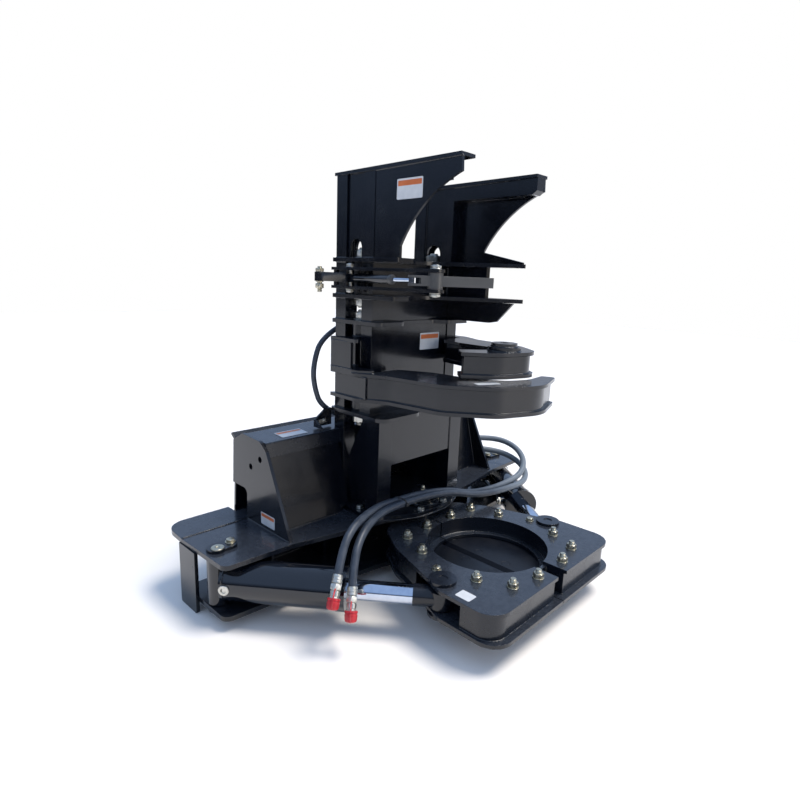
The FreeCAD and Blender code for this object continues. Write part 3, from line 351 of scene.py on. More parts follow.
# %% Shape builder
class Shape:
    """Collects corners and faces in millimetres of the drawing."""

    def __init__(self):
        self.corners = []
        self.faces = []

    def add(self, corners, faces):
        start = len(self.corners)
        self.corners += corners
        self.faces += [[start + i for i in face] for face in faces]

    def turned(self, base, axis, profile, sides=28, limit=None):
        """Spin (height, radius) pairs; limit(angle, height, radius) may pull the radius in."""
        axis = Vector(axis).normalized()
        side = axis.orthogonal().normalized() if abs(axis.z) < 0.99 else Vector((1, 0, 0))
        other = axis.cross(side)
        corners = []
        for height, radius in profile:
            for k in range(sides):
                angle = 2 * math.pi * k / sides
                r = limit(angle, height, radius) if limit else radius
                way = side * math.cos(angle) + other * math.sin(angle)
                corners.append(Vector(base) + axis * height + way * r)
        faces = []
        for j in range(len(profile) - 1):
            for k in range(sides):
                a = j * sides + k
                b = j * sides + (k + 1) % sides
                faces.append([a, b, b + sides, a + sides])
        faces.append(list(range(sides))[::-1])
        faces.append([(len(profile) - 1) * sides + k for k in range(sides)])
        self.add(corners, faces)
        return self

    def hexagon(self, base, axis, across, height):
        flat = across / 2
        top = across / math.sqrt(3)

        def limit(angle, at_height, radius):
            part = angle % (math.pi / 3) - math.pi / 6
            return min(radius, flat / math.cos(part))

        profile = [
            (0, flat * 0.93), (0.05 * height, flat * 1.0), (0.13 * height, top),
            (0.87 * height, top), (0.95 * height, flat * 1.0), (height, flat * 0.93)]
        return self.turned(base, axis, profile, 48, limit)

    def screw(self, base, axis, radius, height, pitch):
        steps = max(4, int(height / pitch * 5))

        def limit(angle, at_height, r):
            wave = (at_height / pitch - angle / (2 * math.pi)) % 1.0
            return r - 0.5 * pitch * abs(2 * wave - 1) if at_height < height - pitch else r * 0.9

        profile = [(height * j / steps, radius) for j in range(steps + 1)]
        return self.turned(base, axis, profile, 24, limit)

    def washer(self, base, axis, outer, inner, thickness):
        edge = thickness * 0.25
        profile = [
            (0, outer - edge), (edge, outer), (thickness - edge, outer), (thickness, outer - edge),
            (thickness, inner)]
        return self.turned(base, axis, profile, 36)

    def bead(self, path, radius, seed=1, closed=False, sides=7):
        """Rippled weld along a list of points."""
        chance = random.Random(seed)
        points = [Vector(p) for p in path]
        if closed:
            points.append(points[0])
        spots = []
        for a, b in zip(points, points[1:]):
            count = max(1, int((b - a).length / 2.4))
            spots += [(a.lerp(b, k / count), (b - a).normalized()) for k in range(count)]
        spots.append((points[-1], (points[-1] - points[-2]).normalized()))
        corners = []
        for k, (spot, way) in enumerate(spots):
            side = way.cross(UP) if abs(way.z) < 0.9 else way.cross(Vector((0, 1, 0)))
            side.normalize()
            lift = side.cross(way)
            swell = 1 + 0.16 * math.sin(k * 1.9) + 0.10 * (chance.random() - 0.5)
            if not closed and k in (0, len(spots) - 1):
                swell *= 0.5
            for j in range(sides):
                angle = 2 * math.pi * j / sides
                corners.append(spot + (side * math.cos(angle) + lift * math.sin(angle)) * radius * swell)
        faces = []
        for k in range(len(spots) - 1):
            for j in range(sides):
                a = k * sides + j
                b = k * sides + (j + 1) % sides
                faces.append([a, b, b + sides, a + sides])
        faces.append(list(range(sides))[::-1])
        faces.append([(len(spots) - 1) * sides + j for j in range(sides)])
        self.add(corners, faces)
        return self

    def slab(self, outline, z0, z1, edge=1.0):
        """Flat plate from a rounded outline, with a small chamfer on its upper edge."""
        count = len(outline)
        middle = sum((Vector((x, y, 0)) for x, y in outline), Vector()) / count
        small = []
        for x, y in outline:
            way = Vector((x, y, 0)) - middle
            small.append(middle + way * (1 - edge / max(way.length, 1)))
        corners = [Vector((x, y, z0)) for x, y in outline]
        corners += [Vector((x, y, z1 - edge)) for x, y in outline]
        corners += [Vector((p.x, p.y, z1)) for p in small]
        faces = []
        for j in range(2):
            for k in range(count):
                a = j * count + k
                b = j * count + (k + 1) % count
                faces.append([a, b, b + count, a + count])
        faces.append(list(range(count))[::-1])
        faces.append([2 * count + k for k in range(count)])
        self.add(corners, faces)
        return self

    def plate(self, outline, offset):
        """Flat plate: a closed line of corners, thickened by an offset."""
        count = len(outline)
        corners = [Vector(p) for p in outline] + [Vector(p) + Vector(offset) for p in outline]
        faces = [[k, (k + 1) % count, (k + 1) % count + count, k + count] for k in range(count)]
        faces.append([count + k for k in range(count)])
        faces.append(list(range(count))[::-1])
        self.add(corners, faces)
        return self

    def sheet(self, middle, along, across, width, height, normal, thickness=0.5, corner=4.0):
        """Thin decal with round corners, lying on a face."""
        along = Vector(along).normalized()
        across = Vector(across).normalized()
        normal = Vector(normal).normalized()
        rim = []
        for sx, sy, start in ((1, 1, 0), (-1, 1, 90), (-1, -1, 180), (1, -1, 270)):
            for k in range(5):
                t = math.radians(start + 22.5 * k)
                u = sx * (width / 2 - corner) + corner * math.cos(t)
                v = sy * (height / 2 - corner) + corner * math.sin(t)
                rim.append(Vector(middle) + along * u + across * v)
        count = len(rim)
        corners = rim + [p + normal * thickness for p in rim]
        faces = [[k, (k + 1) % count, (k + 1) % count + count, k + count] for k in range(count)]
        faces.append([count + k for k in range(count)])
        faces.append(list(range(count))[::-1])
        self.add(corners, faces)
        return self

    def place(self, name, material, body, slot, nodes=(), angle=34):
        mesh = bpy.data.meshes.new(name)
        mesh.from_pydata([at(*p) for p in self.corners], [], self.faces)
        solid = bmesh.new()
        solid.from_mesh(mesh)
        bmesh.ops.recalc_face_normals(solid, faces=solid.faces)
        solid.to_mesh(mesh)
        solid.free()
        mesh.materials.append(material)
        mesh.shade_smooth()
        mesh.set_sharp_from_angle(angle=math.radians(angle))
        made = bpy.data.objects.new(name, mesh)
        bpy.context.scene.collection.objects.link(made)
        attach(made, body)
        if nodes:
            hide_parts(*nodes)
        return made


def box_path(x0, x1, y0, y1, z):
    return [Vector((x0, y0, z)), Vector((x1, y0, z)), Vector((x1, y1, z)), Vector((x0, y1, z))]


print("shape builder ready")

# %% [markdown]
# ## The painted frame
#
# The plates, posts and tubes of the frame are shown as they were cut, with a finish
# each: paler worn paint on the deck that people stand on, also used on the jaws and the
# housing cover, with more dust and a painted sky sheen on the tops; a deeper gloss on the
# cylinders, chrome on the rods and a duller black on the blades. Each could be modelled
# again, but their shapes are already true, so only the surface is new.

# %% Finishes on the frame's own plates
FINISH_OF = {
    "deck_plate": DUST_AND_SHEEN_PAINT, "deck_rear_plate": DUST_AND_SHEEN_PAINT, "housing_top_cover": DUST_AND_SHEEN_PAINT,
    "jaw_left": DUST_AND_SHEEN_PAINT, "jaw_right": DUST_AND_SHEEN_PAINT,
    "jaw_barrel_left": GLOSS, "jaw_barrel_right": GLOSS,
    "jaw_rod_left": CHROME, "jaw_rod_right": CHROME, "arm_rod": CHROME, "finger_ram_rod": CHROME,
    "blade_left": DARK, "blade_right": DARK,
    "finger": GREY, "finger_ram_barrel": GLOSS, "arm_barrel": GLOSS,
    "hose_ports": ZINC, "rear_fittings": ZINC, "couplers": ZINC, "coupler_caps": RED,
}
for name, node in NODES.items():
    node.data.materials.clear()
    node.data.materials.append(FINISH_OF.get(name, BLACK))
print("painted nodes:", len(NODES))

# %% [markdown]
# ## Welds
#
# Inside corners of the steel carry a rippled weld. The builder walks over each node's
# own faces, keeps the edges where two faces meet in a hollow corner, joins them into
# lines and lays a bead along every line. Drawing each bead by hand would also work,
# but a bead found this way always sits exactly in its corner. Corners at the crank
# pins stay free, because the cylinder's eye turns there.

# %% Beads in the hollow corners of each node
def hollow_lines(node, least):
    mesh = bmesh.new()
    mesh.from_mesh(node.data)
    mesh.transform(node.matrix_world)
    bmesh.ops.remove_doubles(mesh, verts=mesh.verts, dist=0.00002)
    kept = []
    for edge in mesh.edges:
        if len(edge.link_faces) == 2 and edge.calc_face_angle_signed(0) < -0.9:
            kept.append(edge)
    ways = {}
    for edge in kept:
        for corner in edge.verts:
            ways.setdefault(corner.index, []).append(edge)
    mesh.verts.ensure_lookup_table()
    used = set()
    lines = []

    def follow(edge, corner):
        path = [edge.other_vert(corner), corner]
        used.add(edge.index)
        while True:
            here = path[-1]
            run = (here.co - path[-2].co).normalized()
            choice = [e for e in ways[here.index] if e.index not in used]
            choice = [e for e in choice if (e.other_vert(here).co - here.co).normalized().dot(run) > 0.6]
            if len(choice) != 1:
                return path
            used.add(choice[0].index)
            path.append(choice[0].other_vert(here))

    mesh.edges.index_update()
    for edge in kept:
        if edge.index in used:
            continue
        ahead = follow(edge, edge.verts[1])
        behind = [e for e in ways[edge.verts[0].index] if e.index not in used]
        if len(behind) == 1:
            tail = follow(behind[0], behind[0].other_vert(edge.verts[0]))
            ahead = tail[:0:-1] + ahead
        points = [drawn(corner.co) for corner in ahead]
        if sum((b - a).length for a, b in zip(points, points[1:])) >= least:
            lines.append(points)
    mesh.free()
    return lines


WELDED = {
    "jaw_left": "left_jaw", "jaw_right": "right_jaw", "arm_left": "left_arm", "arm_right": "right_arm",
    "mast_foot": "frame", "shelf_box_web": "frame", "horn_left": "frame", "horn_right": "frame",
    "rear_post_left": "frame", "rear_post_right": "frame", "upper_bay_web": "frame",
    "deck_spine_wall": "frame",
}
BEAD_R = 3.2
SHORTEST_BEAD = 45
CRANKS = (Vector((-140, 140, 835)), Vector((140, 140, 835)))
CRANK_ROOM = 60
laid = 0
for name, body in WELDED.items():
    beads = Shape()
    for number, line in enumerate(hollow_lines(NODES[name], SHORTEST_BEAD)):
        if min((spot - crank).length for spot in line for crank in CRANKS) < CRANK_ROOM:
            continue
        beads.bead(line, BEAD_R, number)
        laid += 1
    if beads.corners:
        beads.place("welds_" + name, SEAM, body, "black_paint", angle=60)
print("beads laid in corners:", laid)

# %% [markdown]
# ## Seams between two plates
#
# A post passes through several plates and is welded to each one all round, and the
# housing is welded down onto the deck. Two separate plates share no edge, so no hollow
# corner can be found: each seam is given by the levels and widths of the drawing. They
# could be left out, but a bare joint looks as if it were only stood in place.

# %% Levels and widths of the plates
DECK_TOP = 232
DECK_FOOT = 216
DOUBLER_TOP = 248
LOWER_DECK_TOP = 56
LOWER_DECK_FOOT = 40
ARM_FLOOR = (606, 620)
ARM_CEILING = (940, 954)
LOWER_SHELF = (1030, 1044)
UPPER_SHELF = (1156, 1170)
MAST_TOP = 1448
POST_OUT = 234
ABOVE = ARM_CEILING + LOWER_SHELF + UPPER_SHELF
POSTS = [
    (55, -9, ARM_FLOOR[1:] + ABOVE),
    (55, 132, (DOUBLER_TOP,) + ARM_FLOOR + ABOVE),
    (66, -61, (DOUBLER_TOP, ARM_FLOOR[0]))]
print("posts a side:", len(POSTS))

# %% Beads round the posts
beads = Shape()
for side in (-1, 1):
    for width, y, levels in POSTS:
        x0, x1 = sorted((side * POST_OUT, side * (POST_OUT - width)))
        for z in levels:
            beads.bead(box_path(x0, x1, y, y + width, z), BEAD_R, z, closed=True)
print("beads round the posts:", len(beads.corners), "corners")

# %% Beads along the housing, the end plates and the doubler
HOUSING_HALF = 571.5
HOUSING_INSIDE = 559.5
END_PLATE_X = 810
SPINE_HALF = 700
RIM = [(-262, -40), (-252, 90), (-196, 212)]
FRONT_RIM = [(-262, -40), (-215, -78), (-160, -112), (-95, -140), (-48, -149), (0, -150)]


def straight(start, end, radius, seed):
    beads.bead([Vector(start), Vector(end)], radius, seed)


for side in (-1, 1):
    wall = side * HOUSING_HALF
    inside = side * HOUSING_INSIDE
    end_plate = side * END_PLATE_X
    spine = side * SPINE_HALF
    straight((wall, 4, DECK_TOP), (wall, 266, DECK_TOP), 3.5, 2)
    straight((inside, 4, DECK_TOP), (inside, 85, DECK_TOP), 3.5, 3)
    straight((side * 272, 86, DECK_TOP), (side * 558, 86, DECK_TOP), 3.5, 4)
    straight((side * 559, 87 + 2 * 0.257, 234), (side * 559, 87 + 254 * 0.257, 486), BEAD_R, 5)
    straight((end_plate, 174, DECK_FOOT), (end_plate, 278, DECK_FOOT), BEAD_R, 6)
    straight((end_plate, 174, LOWER_DECK_FOOT), (end_plate, 264, LOWER_DECK_FOOT), BEAD_R, 7)
    straight((spine, 232, LOWER_DECK_TOP), (spine, 246, LOWER_DECK_TOP), 3.0, 8)
straight((-817, 266.3, DECK_TOP), (817, 266.3, DECK_TOP), 3.4, 9)
straight((-698, 232, LOWER_DECK_TOP), (698, 232, LOWER_DECK_TOP), BEAD_R, 10)
straight((-698, 232, DECK_FOOT), (698, 232, DECK_FOOT), BEAD_R, 11)
for side in (-1, 1):
    beads.bead([Vector((side * x, y, DECK_TOP)) for x, y in FRONT_RIM], BEAD_R, 12)
    beads.bead([Vector((side * x, y, DECK_TOP)) for x, y in RIM], BEAD_R, 13)
beads.place("welds_frame", SEAM, "frame", "black_paint", angle=60)
print("beads round the plates:", len(beads.corners), "corners")

# %% [markdown]
# ## Plates on the mast
#
# The bay between the posts is closed by a plate on the outside, with an arch left open
# at its foot so that a spanner reaches the hinge nut. A block closes the tip of the
# right horn, and a small bracket for the hose clamp stands behind the left post. They are
# flat cuttings: each is a line of corners pushed sideways by the plate thickness.

# %% Arched plates and the horn tip
HINGE_X = 190
HINGE_Y = 88
ARCH_R = 30
ARCH_Y = 89
ARCH_Z = 1204
SKIN_X = 223
arch = []
for k in range(19):
    t = math.radians(10 * k)
    arch.append((ARCH_Y - ARCH_R * math.cos(t), ARCH_Z + ARCH_R * math.sin(t)))
foot = UPPER_SHELF[1]
around = [(132, foot), (132, MAST_TOP), (46, MAST_TOP), (46, foot), (ARCH_Y - ARCH_R, foot)]
around += arch + [(ARCH_Y + ARCH_R, foot)]
tip = [(-295, 1400), (-295, 1455), (-366, 1456), (-366, 1412), (-350, 1400)]
plates = Shape()
for side in (-1, 1):
    plates.plate([(side * SKIN_X, y, z) for y, z in around], (side * 4, 0, 0))
plates.plate([(179.5, y, z) for y, z in tip], (48, 0, 0))
plates.place("mast_skins", BLACK, "frame", "black_paint")
print("arch corners:", len(around))

# %% Clamp bracket behind the left post
bracket = Shape()
wing = [(-318, 547), (-318, 574), (-268, 612), (-240, 612), (-240, 547)]
bracket.plate([(x, 200, z) for x, z in wing], (0, 8, 0))
bracket.plate([(-318, 200, 547), (-318, 160, 547), (-318, 200, 574)], (8, 0, 0))
bracket.place("clamp_bracket", BLACK, "frame", "black_paint")
clamp = Shape()
clamp.plate([(x, 196, z) for x, z in ((-302, 556), (-302, 573), (-268, 576), (-268, 559))], (0, 4, 0))
clamp.hexagon((-277, 196, 567), (0, -1, 0), 10, 5)
clamp.place("hose_clamp", ZINC, "frame", "zinc")
print("bracket corners:", len(bracket.corners))

# %% [markdown]
# ## Hinge bolts
#
# Each arm turns on one long bolt with 55 mm nuts and hardened washers. The nuts are
# turned shapes pulled into a hexagon, with the crown chamfer that a real nut has. A
# plain six-sided block would do from afar, but its corners stay sharp in the light.

# %% Long bolts of the arms
BIG_NUT = 55
BIG_BOLT_R = 18


def nut_stack(shape, x, y, z, way, across, height, radius, tip):
    """Washer, nut and screw end; way is 1 above a plate and -1 below it."""
    axis = UP * way
    washer = 4 if across > 40 else 3
    shape.washer((x, y, z), axis, across * 0.6, radius, washer)
    shape.hexagon((x, y, z + way * washer), axis, across, height - washer)
    shape.screw((x, y, z + way * height), axis, radius * 0.97, tip, radius / 7)


def hinge_bolt(shape, x, foot, head, low_height, low_tip, high_height, high_tip):
    shape.turned((x, HINGE_Y, foot), UP, [(0, BIG_BOLT_R), (head - foot, BIG_BOLT_R)])
    nut_stack(shape, x, HINGE_Y, foot, -1, BIG_NUT, low_height, BIG_BOLT_R, low_tip)
    nut_stack(shape, x, HINGE_Y, head, 1, BIG_NUT, high_height, BIG_BOLT_R, high_tip)


low = Shape()
high = Shape()
for x in (-HINGE_X, HINGE_X):
    hinge_bolt(low, x, ARM_FLOOR[0], ARM_CEILING[1], 34, 11, 28, 8)
    hinge_bolt(high, x, LOWER_SHELF[0], UPPER_SHELF[1], 28, 6, 29, 7)
low.place("arm_hinge_bolts", ZINC, "frame", "zinc", ["arm_bolts"])
high.place("upper_hinge_bolts", ZINC, "frame", "zinc", ["upper_bolts"])
print("hinge bolts: 4")

# %% Bolts of the upper arm and of the doubler
STRAP_FOOT = 1064
STRAP_TOP = 1136
RAM_BASE = (-272, 66)
FINGER_PIN = (-218, -275)
pair = Shape()
for (x, y), across, radius in ((FINGER_PIN, 30, 10), (RAM_BASE, 24, 8)):
    pair.turned((x, y, STRAP_FOOT), UP, [(0, radius), (STRAP_TOP - STRAP_FOOT, radius)])
    nut_stack(pair, x, y, STRAP_FOOT, -1, across, 12, radius, 2)
    nut_stack(pair, x, y, STRAP_TOP, 1, across, 12, radius, 2)
pair.place("finger_bolts", ZINC, "upper_arm", "zinc", ["upper_arm_bolts"])
few = Shape()
for x, y in ((-226, 42), (226, 42), (-66, -126), (66, -126)):
    few.turned((x, y, DECK_TOP), UP, [(0, 8), (DOUBLER_TOP - DECK_TOP, 8)])
    few.washer((x, y, DOUBLER_TOP), UP, 15, 8, 2.5)
    few.hexagon((x, y, DOUBLER_TOP + 2.5), UP, 24, 9)
few.place("doubler_screws", ZINC, "frame", "zinc", ["doubler_bolts"])
print("finger bolts: 2, doubler screws: 4")

# %% [markdown]
# ## Tail of the upper arm and the finger's ram
#
# The upper arm has a short tail behind its straps: a flat bar with a bolt through its
# round end. The finger is moved by a ram in a worn grey jacket. The bar could be cut
# from the strap itself, but in the photograph it is a thick piece of its own.

# %% Tail lug, its bolt and the ram jacket
TAIL = Vector((-377, 100, 1087))
TAIL_R = 17
TAIL_TOP = 1117
lug = Shape()
root = [(-291, STRAP_FOOT), (-291, STRAP_TOP), (-299, STRAP_TOP), (-299, STRAP_FOOT)]
lug.plate([(x, 54, z) for x, z in root], (0, 40, 0))
bar = [(-298, 58), (-298, 92), (-372, 117)]
for degrees in range(-60, 61, 15):
    t = math.radians(degrees)
    bar.append((TAIL.x - TAIL_R * math.cos(t), TAIL.y - TAIL_R * math.sin(t)))
lug.slab(bar + [(-372, 83)], TAIL.z, TAIL_TOP)
lug.place("tail_lug", BLACK, "upper_arm", "black_paint")
end = Shape()
end.hexagon((TAIL.x, TAIL.y, TAIL_TOP), UP, 26, 12)
end.screw((TAIL.x, TAIL.y, TAIL_TOP + 12), UP, 8, 6, 2)
end.turned(TAIL, -UP, [(0, 13), (3, 13), (3, 8), (10, 8)])
end.hexagon(TAIL - UP * 8, -UP, 26, 16)
end.screw(TAIL - UP * 24, -UP, 8, 12, 2)
end.place("tail_bolt", YELLOW, "upper_arm", "zinc")
ram_way = Vector((-3, -298, 0)).normalized()
jacket = Shape()
jacket.turned(Vector((*RAM_BASE, 1100)) + ram_way * 26, ram_way, [
    (0, 9), (2, 13), (8, 14), (172, 14), (173, 15.5), (184, 15.5), (186, 14), (186, 7)], 40)
jacket.place("ram_jacket", GREY, "ram_barrel", "grey_paint")
print("tail reaches", TAIL.x - TAIL_R)

# %% [markdown]
# ## Main pin
#
# One thick pin carries both jaws. It ends in a stepped cap held by six screws, with a
# greasing elbow in the middle. A cast cap would be smoother, but the photograph shows
# turned steps, so the cap is a list of heights and radii spun round the pin.

# %% Main pin with its stepped cap
PIN_Y = -75
pin = Shape()
pin.turned((0, PIN_Y, 0), UP, [
    (0, 58), (3, 62), (37, 62), (40, 60), (40, 32), (248, 32), (248, 64), (250, 66), (259, 66),
    (262, 63.5), (262, 55), (263, 56), (271, 56), (273, 54), (273, 47), (281, 46), (288, 43),
    (293, 38), (296, 30)], 64)
pin.place("main_pin_cap", BLACK, "frame", "black_paint", ["main_pin"])
elbow = Shape()
elbow.hexagon((0, PIN_Y, 295), UP, 17, 8)
elbow.turned((0, PIN_Y, 303), UP, [(0, 6), (3, 7), (10, 7), (13, 5)])
nozzle = [(0, 6), (9, 6), (10, 4), (15, 4), (17, 5.5), (20, 4)]
elbow.turned((0, PIN_Y, 309), (-0.7, -0.7, 0.1), nozzle)
for turn in range(6):
    t = math.radians(60 * turn + 15)
    elbow.hexagon((61 * math.cos(t), PIN_Y + 61 * math.sin(t), 261.5), UP, 8, 4)
elbow.place("greasing_elbow", YELLOW, "frame", "zinc")
print("main pin stands", 296, "mm high")

# %% [markdown]
# ## Studs of the jaws
#
# Each jaw is a box of two plates held by long studs. Their nuts and screw ends stand up
# on the top plate, and heads close them below. The blade is held by countersunk screws
# with nuts under the jaw. The left jaw's list is mirrored for the right one: two lists
# would allow the jaws to differ, but they are a pair.

# %% Jaw studs, nuts and blade screws
JAW_FOOT = 90
JAW_TOP = 192
BLADE_FOOT = 75
STUD_R = 10
STUDS = [(-70, -166), (-187, -175), (-229, -283), (-238, -520), (-187, -620), (-78, -644)]
for name, side in (("left", 1), ("right", -1)):
    studs = Shape()
    for x, y in STUDS:
        x *= side
        studs.turned((x, y, JAW_FOOT), UP, [(0, STUD_R), (JAW_TOP - JAW_FOOT, STUD_R)])
        studs.washer((x, y, JAW_TOP), UP, 19, STUD_R, 3)
        studs.hexagon((x, y, JAW_TOP + 3), UP, 30, 15)
        studs.screw((x, y, JAW_TOP + 18), UP, 9.8, 11, 2.5)
        studs.hexagon((x, y, JAW_FOOT), -UP, 30, 13)
    studs.place("jaw_screws_" + name, YELLOW, name + "_jaw", "zinc", ["jaw_studs_" + name])
    screws = Shape()
    for y in (-560, -450, -330, -220):
        x = -40 * side
        screws.turned((x, y, BLADE_FOOT), UP, [(0, 7), (1, 8), (35, 8), (42.6, 15.5)])
        screws.hexagon((x, y, JAW_FOOT), -UP, 24, 12)
    screws.place("blade_screws_" + name, DARK, name + "_jaw", "zinc")
print("studs per jaw:", len(STUDS))

# %% [markdown]
# ## Jaw cylinders
#
# The cylinders are the brightest things on the part: gloss barrels, hard chrome rods
# and a dark forged eye. The rod's own faces are sorted by their distance along the
# cylinder, so the eye and its collar take paint and the shaft stays chrome. Two hex
# plugs sit on the ports behind, and a round plug at the base.

# %% Rods and barrel welds
CYLINDER_BASE = Vector((-772, 110, 137))
CYLINDER_EYE = Vector((-320, -451, 137))
SHAFT_END = 628
BARREL_R = 66
SIDES = (("left", 1), ("right", -1))


def mirrored(point, side):
    return Vector((point[0] * side, point[1], point[2]))


def cylinder_line(side):
    base = mirrored(CYLINDER_BASE, side)
    return base, (mirrored(CYLINDER_EYE, side) - base).normalized()


def rippled(angle, height, radius):
    return radius + 0.35 * math.sin(angle * 60)


ring = [(0, BARREL_R), (1, BARREL_R + 3), (4, BARREL_R + 4.5), (7, BARREL_R + 3), (8, BARREL_R)]
for name, side in SIDES:
    base, way = cylinder_line(side)
    rod = NODES["jaw_rod_" + name]
    rod.data.materials.append(BLACK)
    for face in rod.data.polygons:
        if (drawn(rod.matrix_world @ face.center) - base).dot(way) > SHAFT_END:
            face.material_index = 1
    rings = Shape()
    for distance in (31, 390):
        rings.turned(base + way * distance, way, ring, 72, rippled)
    rings.place("barrel_welds_" + name, SEAM, name + "_barrel", "black_paint")
print("rods split at", SHAFT_END, "mm")

# %% Plugs of the barrels
for name, side in SIDES:
    base, way = cylinder_line(side)
    outward = Vector((way.y * side, -way.x * side, 0))
    plugs = Shape()
    for distance in (62, 371):
        foot = base + way * distance - outward * 82
        plugs.hexagon(foot, -outward, 32, 10)
        plugs.turned(foot - outward * 10, -outward, [(0, 10), (4, 10), (5, 9)])
    round_plug = [(0, 17), (6, 17), (7, 16), (7, 9), (4, 8)]
    plugs.turned(base + way * 44 + outward * 64, outward, round_plug)
    plugs.place("barrel_plugs_" + name, ZINC, name + "_barrel", "zinc")
print("plugs a cylinder: 3")

# %% Keepers of the cylinder pins
KEEPER_TOP = 242
for name, side in SIDES:
    keeper = Shape()
    spot = mirrored((-720, 124, KEEPER_TOP), side)
    keeper.washer(spot, UP, 17, 8, 3)
    keeper.hexagon(spot + UP * 3, UP, 25, 8)
    pin_end = [(0, 21), (3, 21), (4, 20), (4, 8), (2, 7)]
    keeper.turned(mirrored((-772, 110, KEEPER_TOP), side), UP, pin_end)
    keeper.place("keeper_bolt_" + name, YELLOW, "frame", "zinc")
    tab = Shape()
    spot = mirrored((-282, -394, JAW_TOP), side)
    tab.washer(spot, UP, 16, 8, 3)
    tab.hexagon(spot + UP * 3, UP, 24, 9)
    tab.place("pin_bolt_" + name, YELLOW, name + "_jaw", "zinc")
print("keepers a side: 2")

# %% [markdown]
# ## Couplers and caps
#
# Each hose ends in a crimped ferrule, a swivel nut and a quick coupler with a red dust
# cap on a lanyard. All are profiles turned round the hose's last run, so they follow it
# if the hose is moved. They could be one shape, but metal and rubber need two finishes.

# %% Couplers with caps
FERRULE = [
    (-2, 13.5), (0, 15.5), (5, 16), (6, 14.8), (8, 14.8), (9, 16), (13, 16), (14, 14.8), (16, 14.8),
    (17, 16), (22, 16), (24, 13), (26, 13)]
COUPLER = [(0, 12), (3, 15), (16, 15), (17, 13.4), (20, 13.4), (21, 15), (31, 15)]
CAP = [
    (66, 16), (67, 19.4), (72, 20), (73, 18.4), (77, 18.4), (78, 19.6), (92, 18.6), (97, 16.5),
    (100, 11)]


def ribbed(angle, height, radius):
    """Twelve shallow grooves round the grip of the cap."""
    groove = 78 < height < 96 and math.sin(angle * 12) < 0
    return radius - (0.7 if groove else 0)


for name, points in (("left", HOSE_LEFT), ("right", HOSE_RIGHT)):
    before, end = [drawn(point) for point in points[-2:]]
    way = (end - before).normalized()
    metal_ends = Shape()
    metal_ends.turned(end, way, FERRULE, 32)
    metal_ends.hexagon(end + way * 25, way, 31, 18)
    metal_ends.turned(end + way * 43, way, COUPLER, 32)
    caps = Shape()
    caps.turned(end, way, CAP, 48, ribbed)
    side = way.orthogonal().normalized()
    lanyard = []
    for k in range(13):
        reach = 16 + 22 * math.sin(math.pi * k / 12)
        lanyard.append(end + way * (99 - 5 * k) + side * reach)
    caps.bead(lanyard, 2.2, 1)
    metal_ends.place("coupler_body_" + name, ZINC, "frame", "zinc", ["couplers"])
    caps.place("dust_cap_" + name, RED, "frame", "cap_red", ["coupler_caps"])

# %% [markdown]
# ## Cable tie
#
# A tie holds the two hoses together before they drop. It is three thin beads in a loop
# round both hoses with a small block for its lock. A flat band would need its own
# bending tool, and the three beads show the ribs of a real tie.

# %% Tie round the two hoses
TIE_X = -196


def round_pair(x, first, second, radius, z):
    """Closed loop round two hoses side by side, in the plane across x."""
    points = []
    for middle, start in ((second, 90), (first, 270)):
        for k in range(9):
            t = math.radians(start + 22.5 * k)
            points.append(Vector((x, middle + radius * math.cos(t), z + radius * math.sin(t))))
    return points


tie = Shape()
for shift in (-2, 0, 2):
    tie.bead(round_pair(TIE_X + shift, -126, -157, 14.5, 321.5), 1.6, 4, closed=True)
tie.slab([(-203, -180), (-190, -180), (-190, -173), (-203, -173)], 316, 326)
tie.place("cable_tie", TIE, "frame", "black_paint")
print("tie at", TIE_X)

# %% [markdown]
# ## Blank decals
#
# The real part carries labels. Here they are plain sheets with a coloured band and no
# words, laid just over the steel where the photograph shows them. A painted patch in the
# coat would also do, but a sheet has an edge that catches light, as a sticker has.

# %% Decals
HOUSING_SIDE = ((-572, 132, 268), (0, 1, 0), (0, 0, 1), 84, 44, (-1, 0, 0))
FRONT_WEB = ((78, -5.3, 872), (1, 0, 0), (0, 0, 1), 110, 64, (0, -1, 0))
LEFT_HORN = ((-232.3, -164, 1380), (0, -1, 0), (0, 0, 1), 110, 62, (-1, 0, 0))
TOP_COVER = ((-422, 205, 541.4), (1, 0, 0), (0, 1, 0.053), 110, 56, (0, -0.053, 1))
labels = Shape()
bands = Shape()
for middle, along, across, width, height, normal in (HOUSING_SIDE, FRONT_WEB, LEFT_HORN, TOP_COVER):
    labels.sheet(middle, along, across, width, height, normal)
    top = Vector(middle) + Vector(across) * (height * 0.28) + Vector(normal) * 0.4
    bands.sheet(top, along, across, width * 0.92, height * 0.26, normal, 0.3, 2.0)
labels.place("blank_labels", PAPER, "frame", "black_paint")
bands.place("label_bands", ORANGE, "frame", "black_paint")
arm_label = Shape().sheet((-78, -398, 780.2), (0.92, -0.4, 0), (0.4, 0.92, 0), 84, 34, (0, 0, 1))
arm_label.place("arm_label", PAPER, "left_arm", "black_paint")
jaw_label = Shape().sheet((-334, -552, JAW_TOP + 0.2), (0, 1, 0), (1, 0, 0), 52, 40, (0, 0, 1))
jaw_label.place("jaw_label", PAPER, "left_jaw", "black_paint")
print("labels:", 6)

# %% [markdown]
# ## Floor
#
# A plain pale floor, slightly warm, carries the shadow and throws soft light back under
# the plates. A curved backdrop would hide the horizon too, but the sky behind the floor
# is white to the camera, so the far edge is lost anyway.

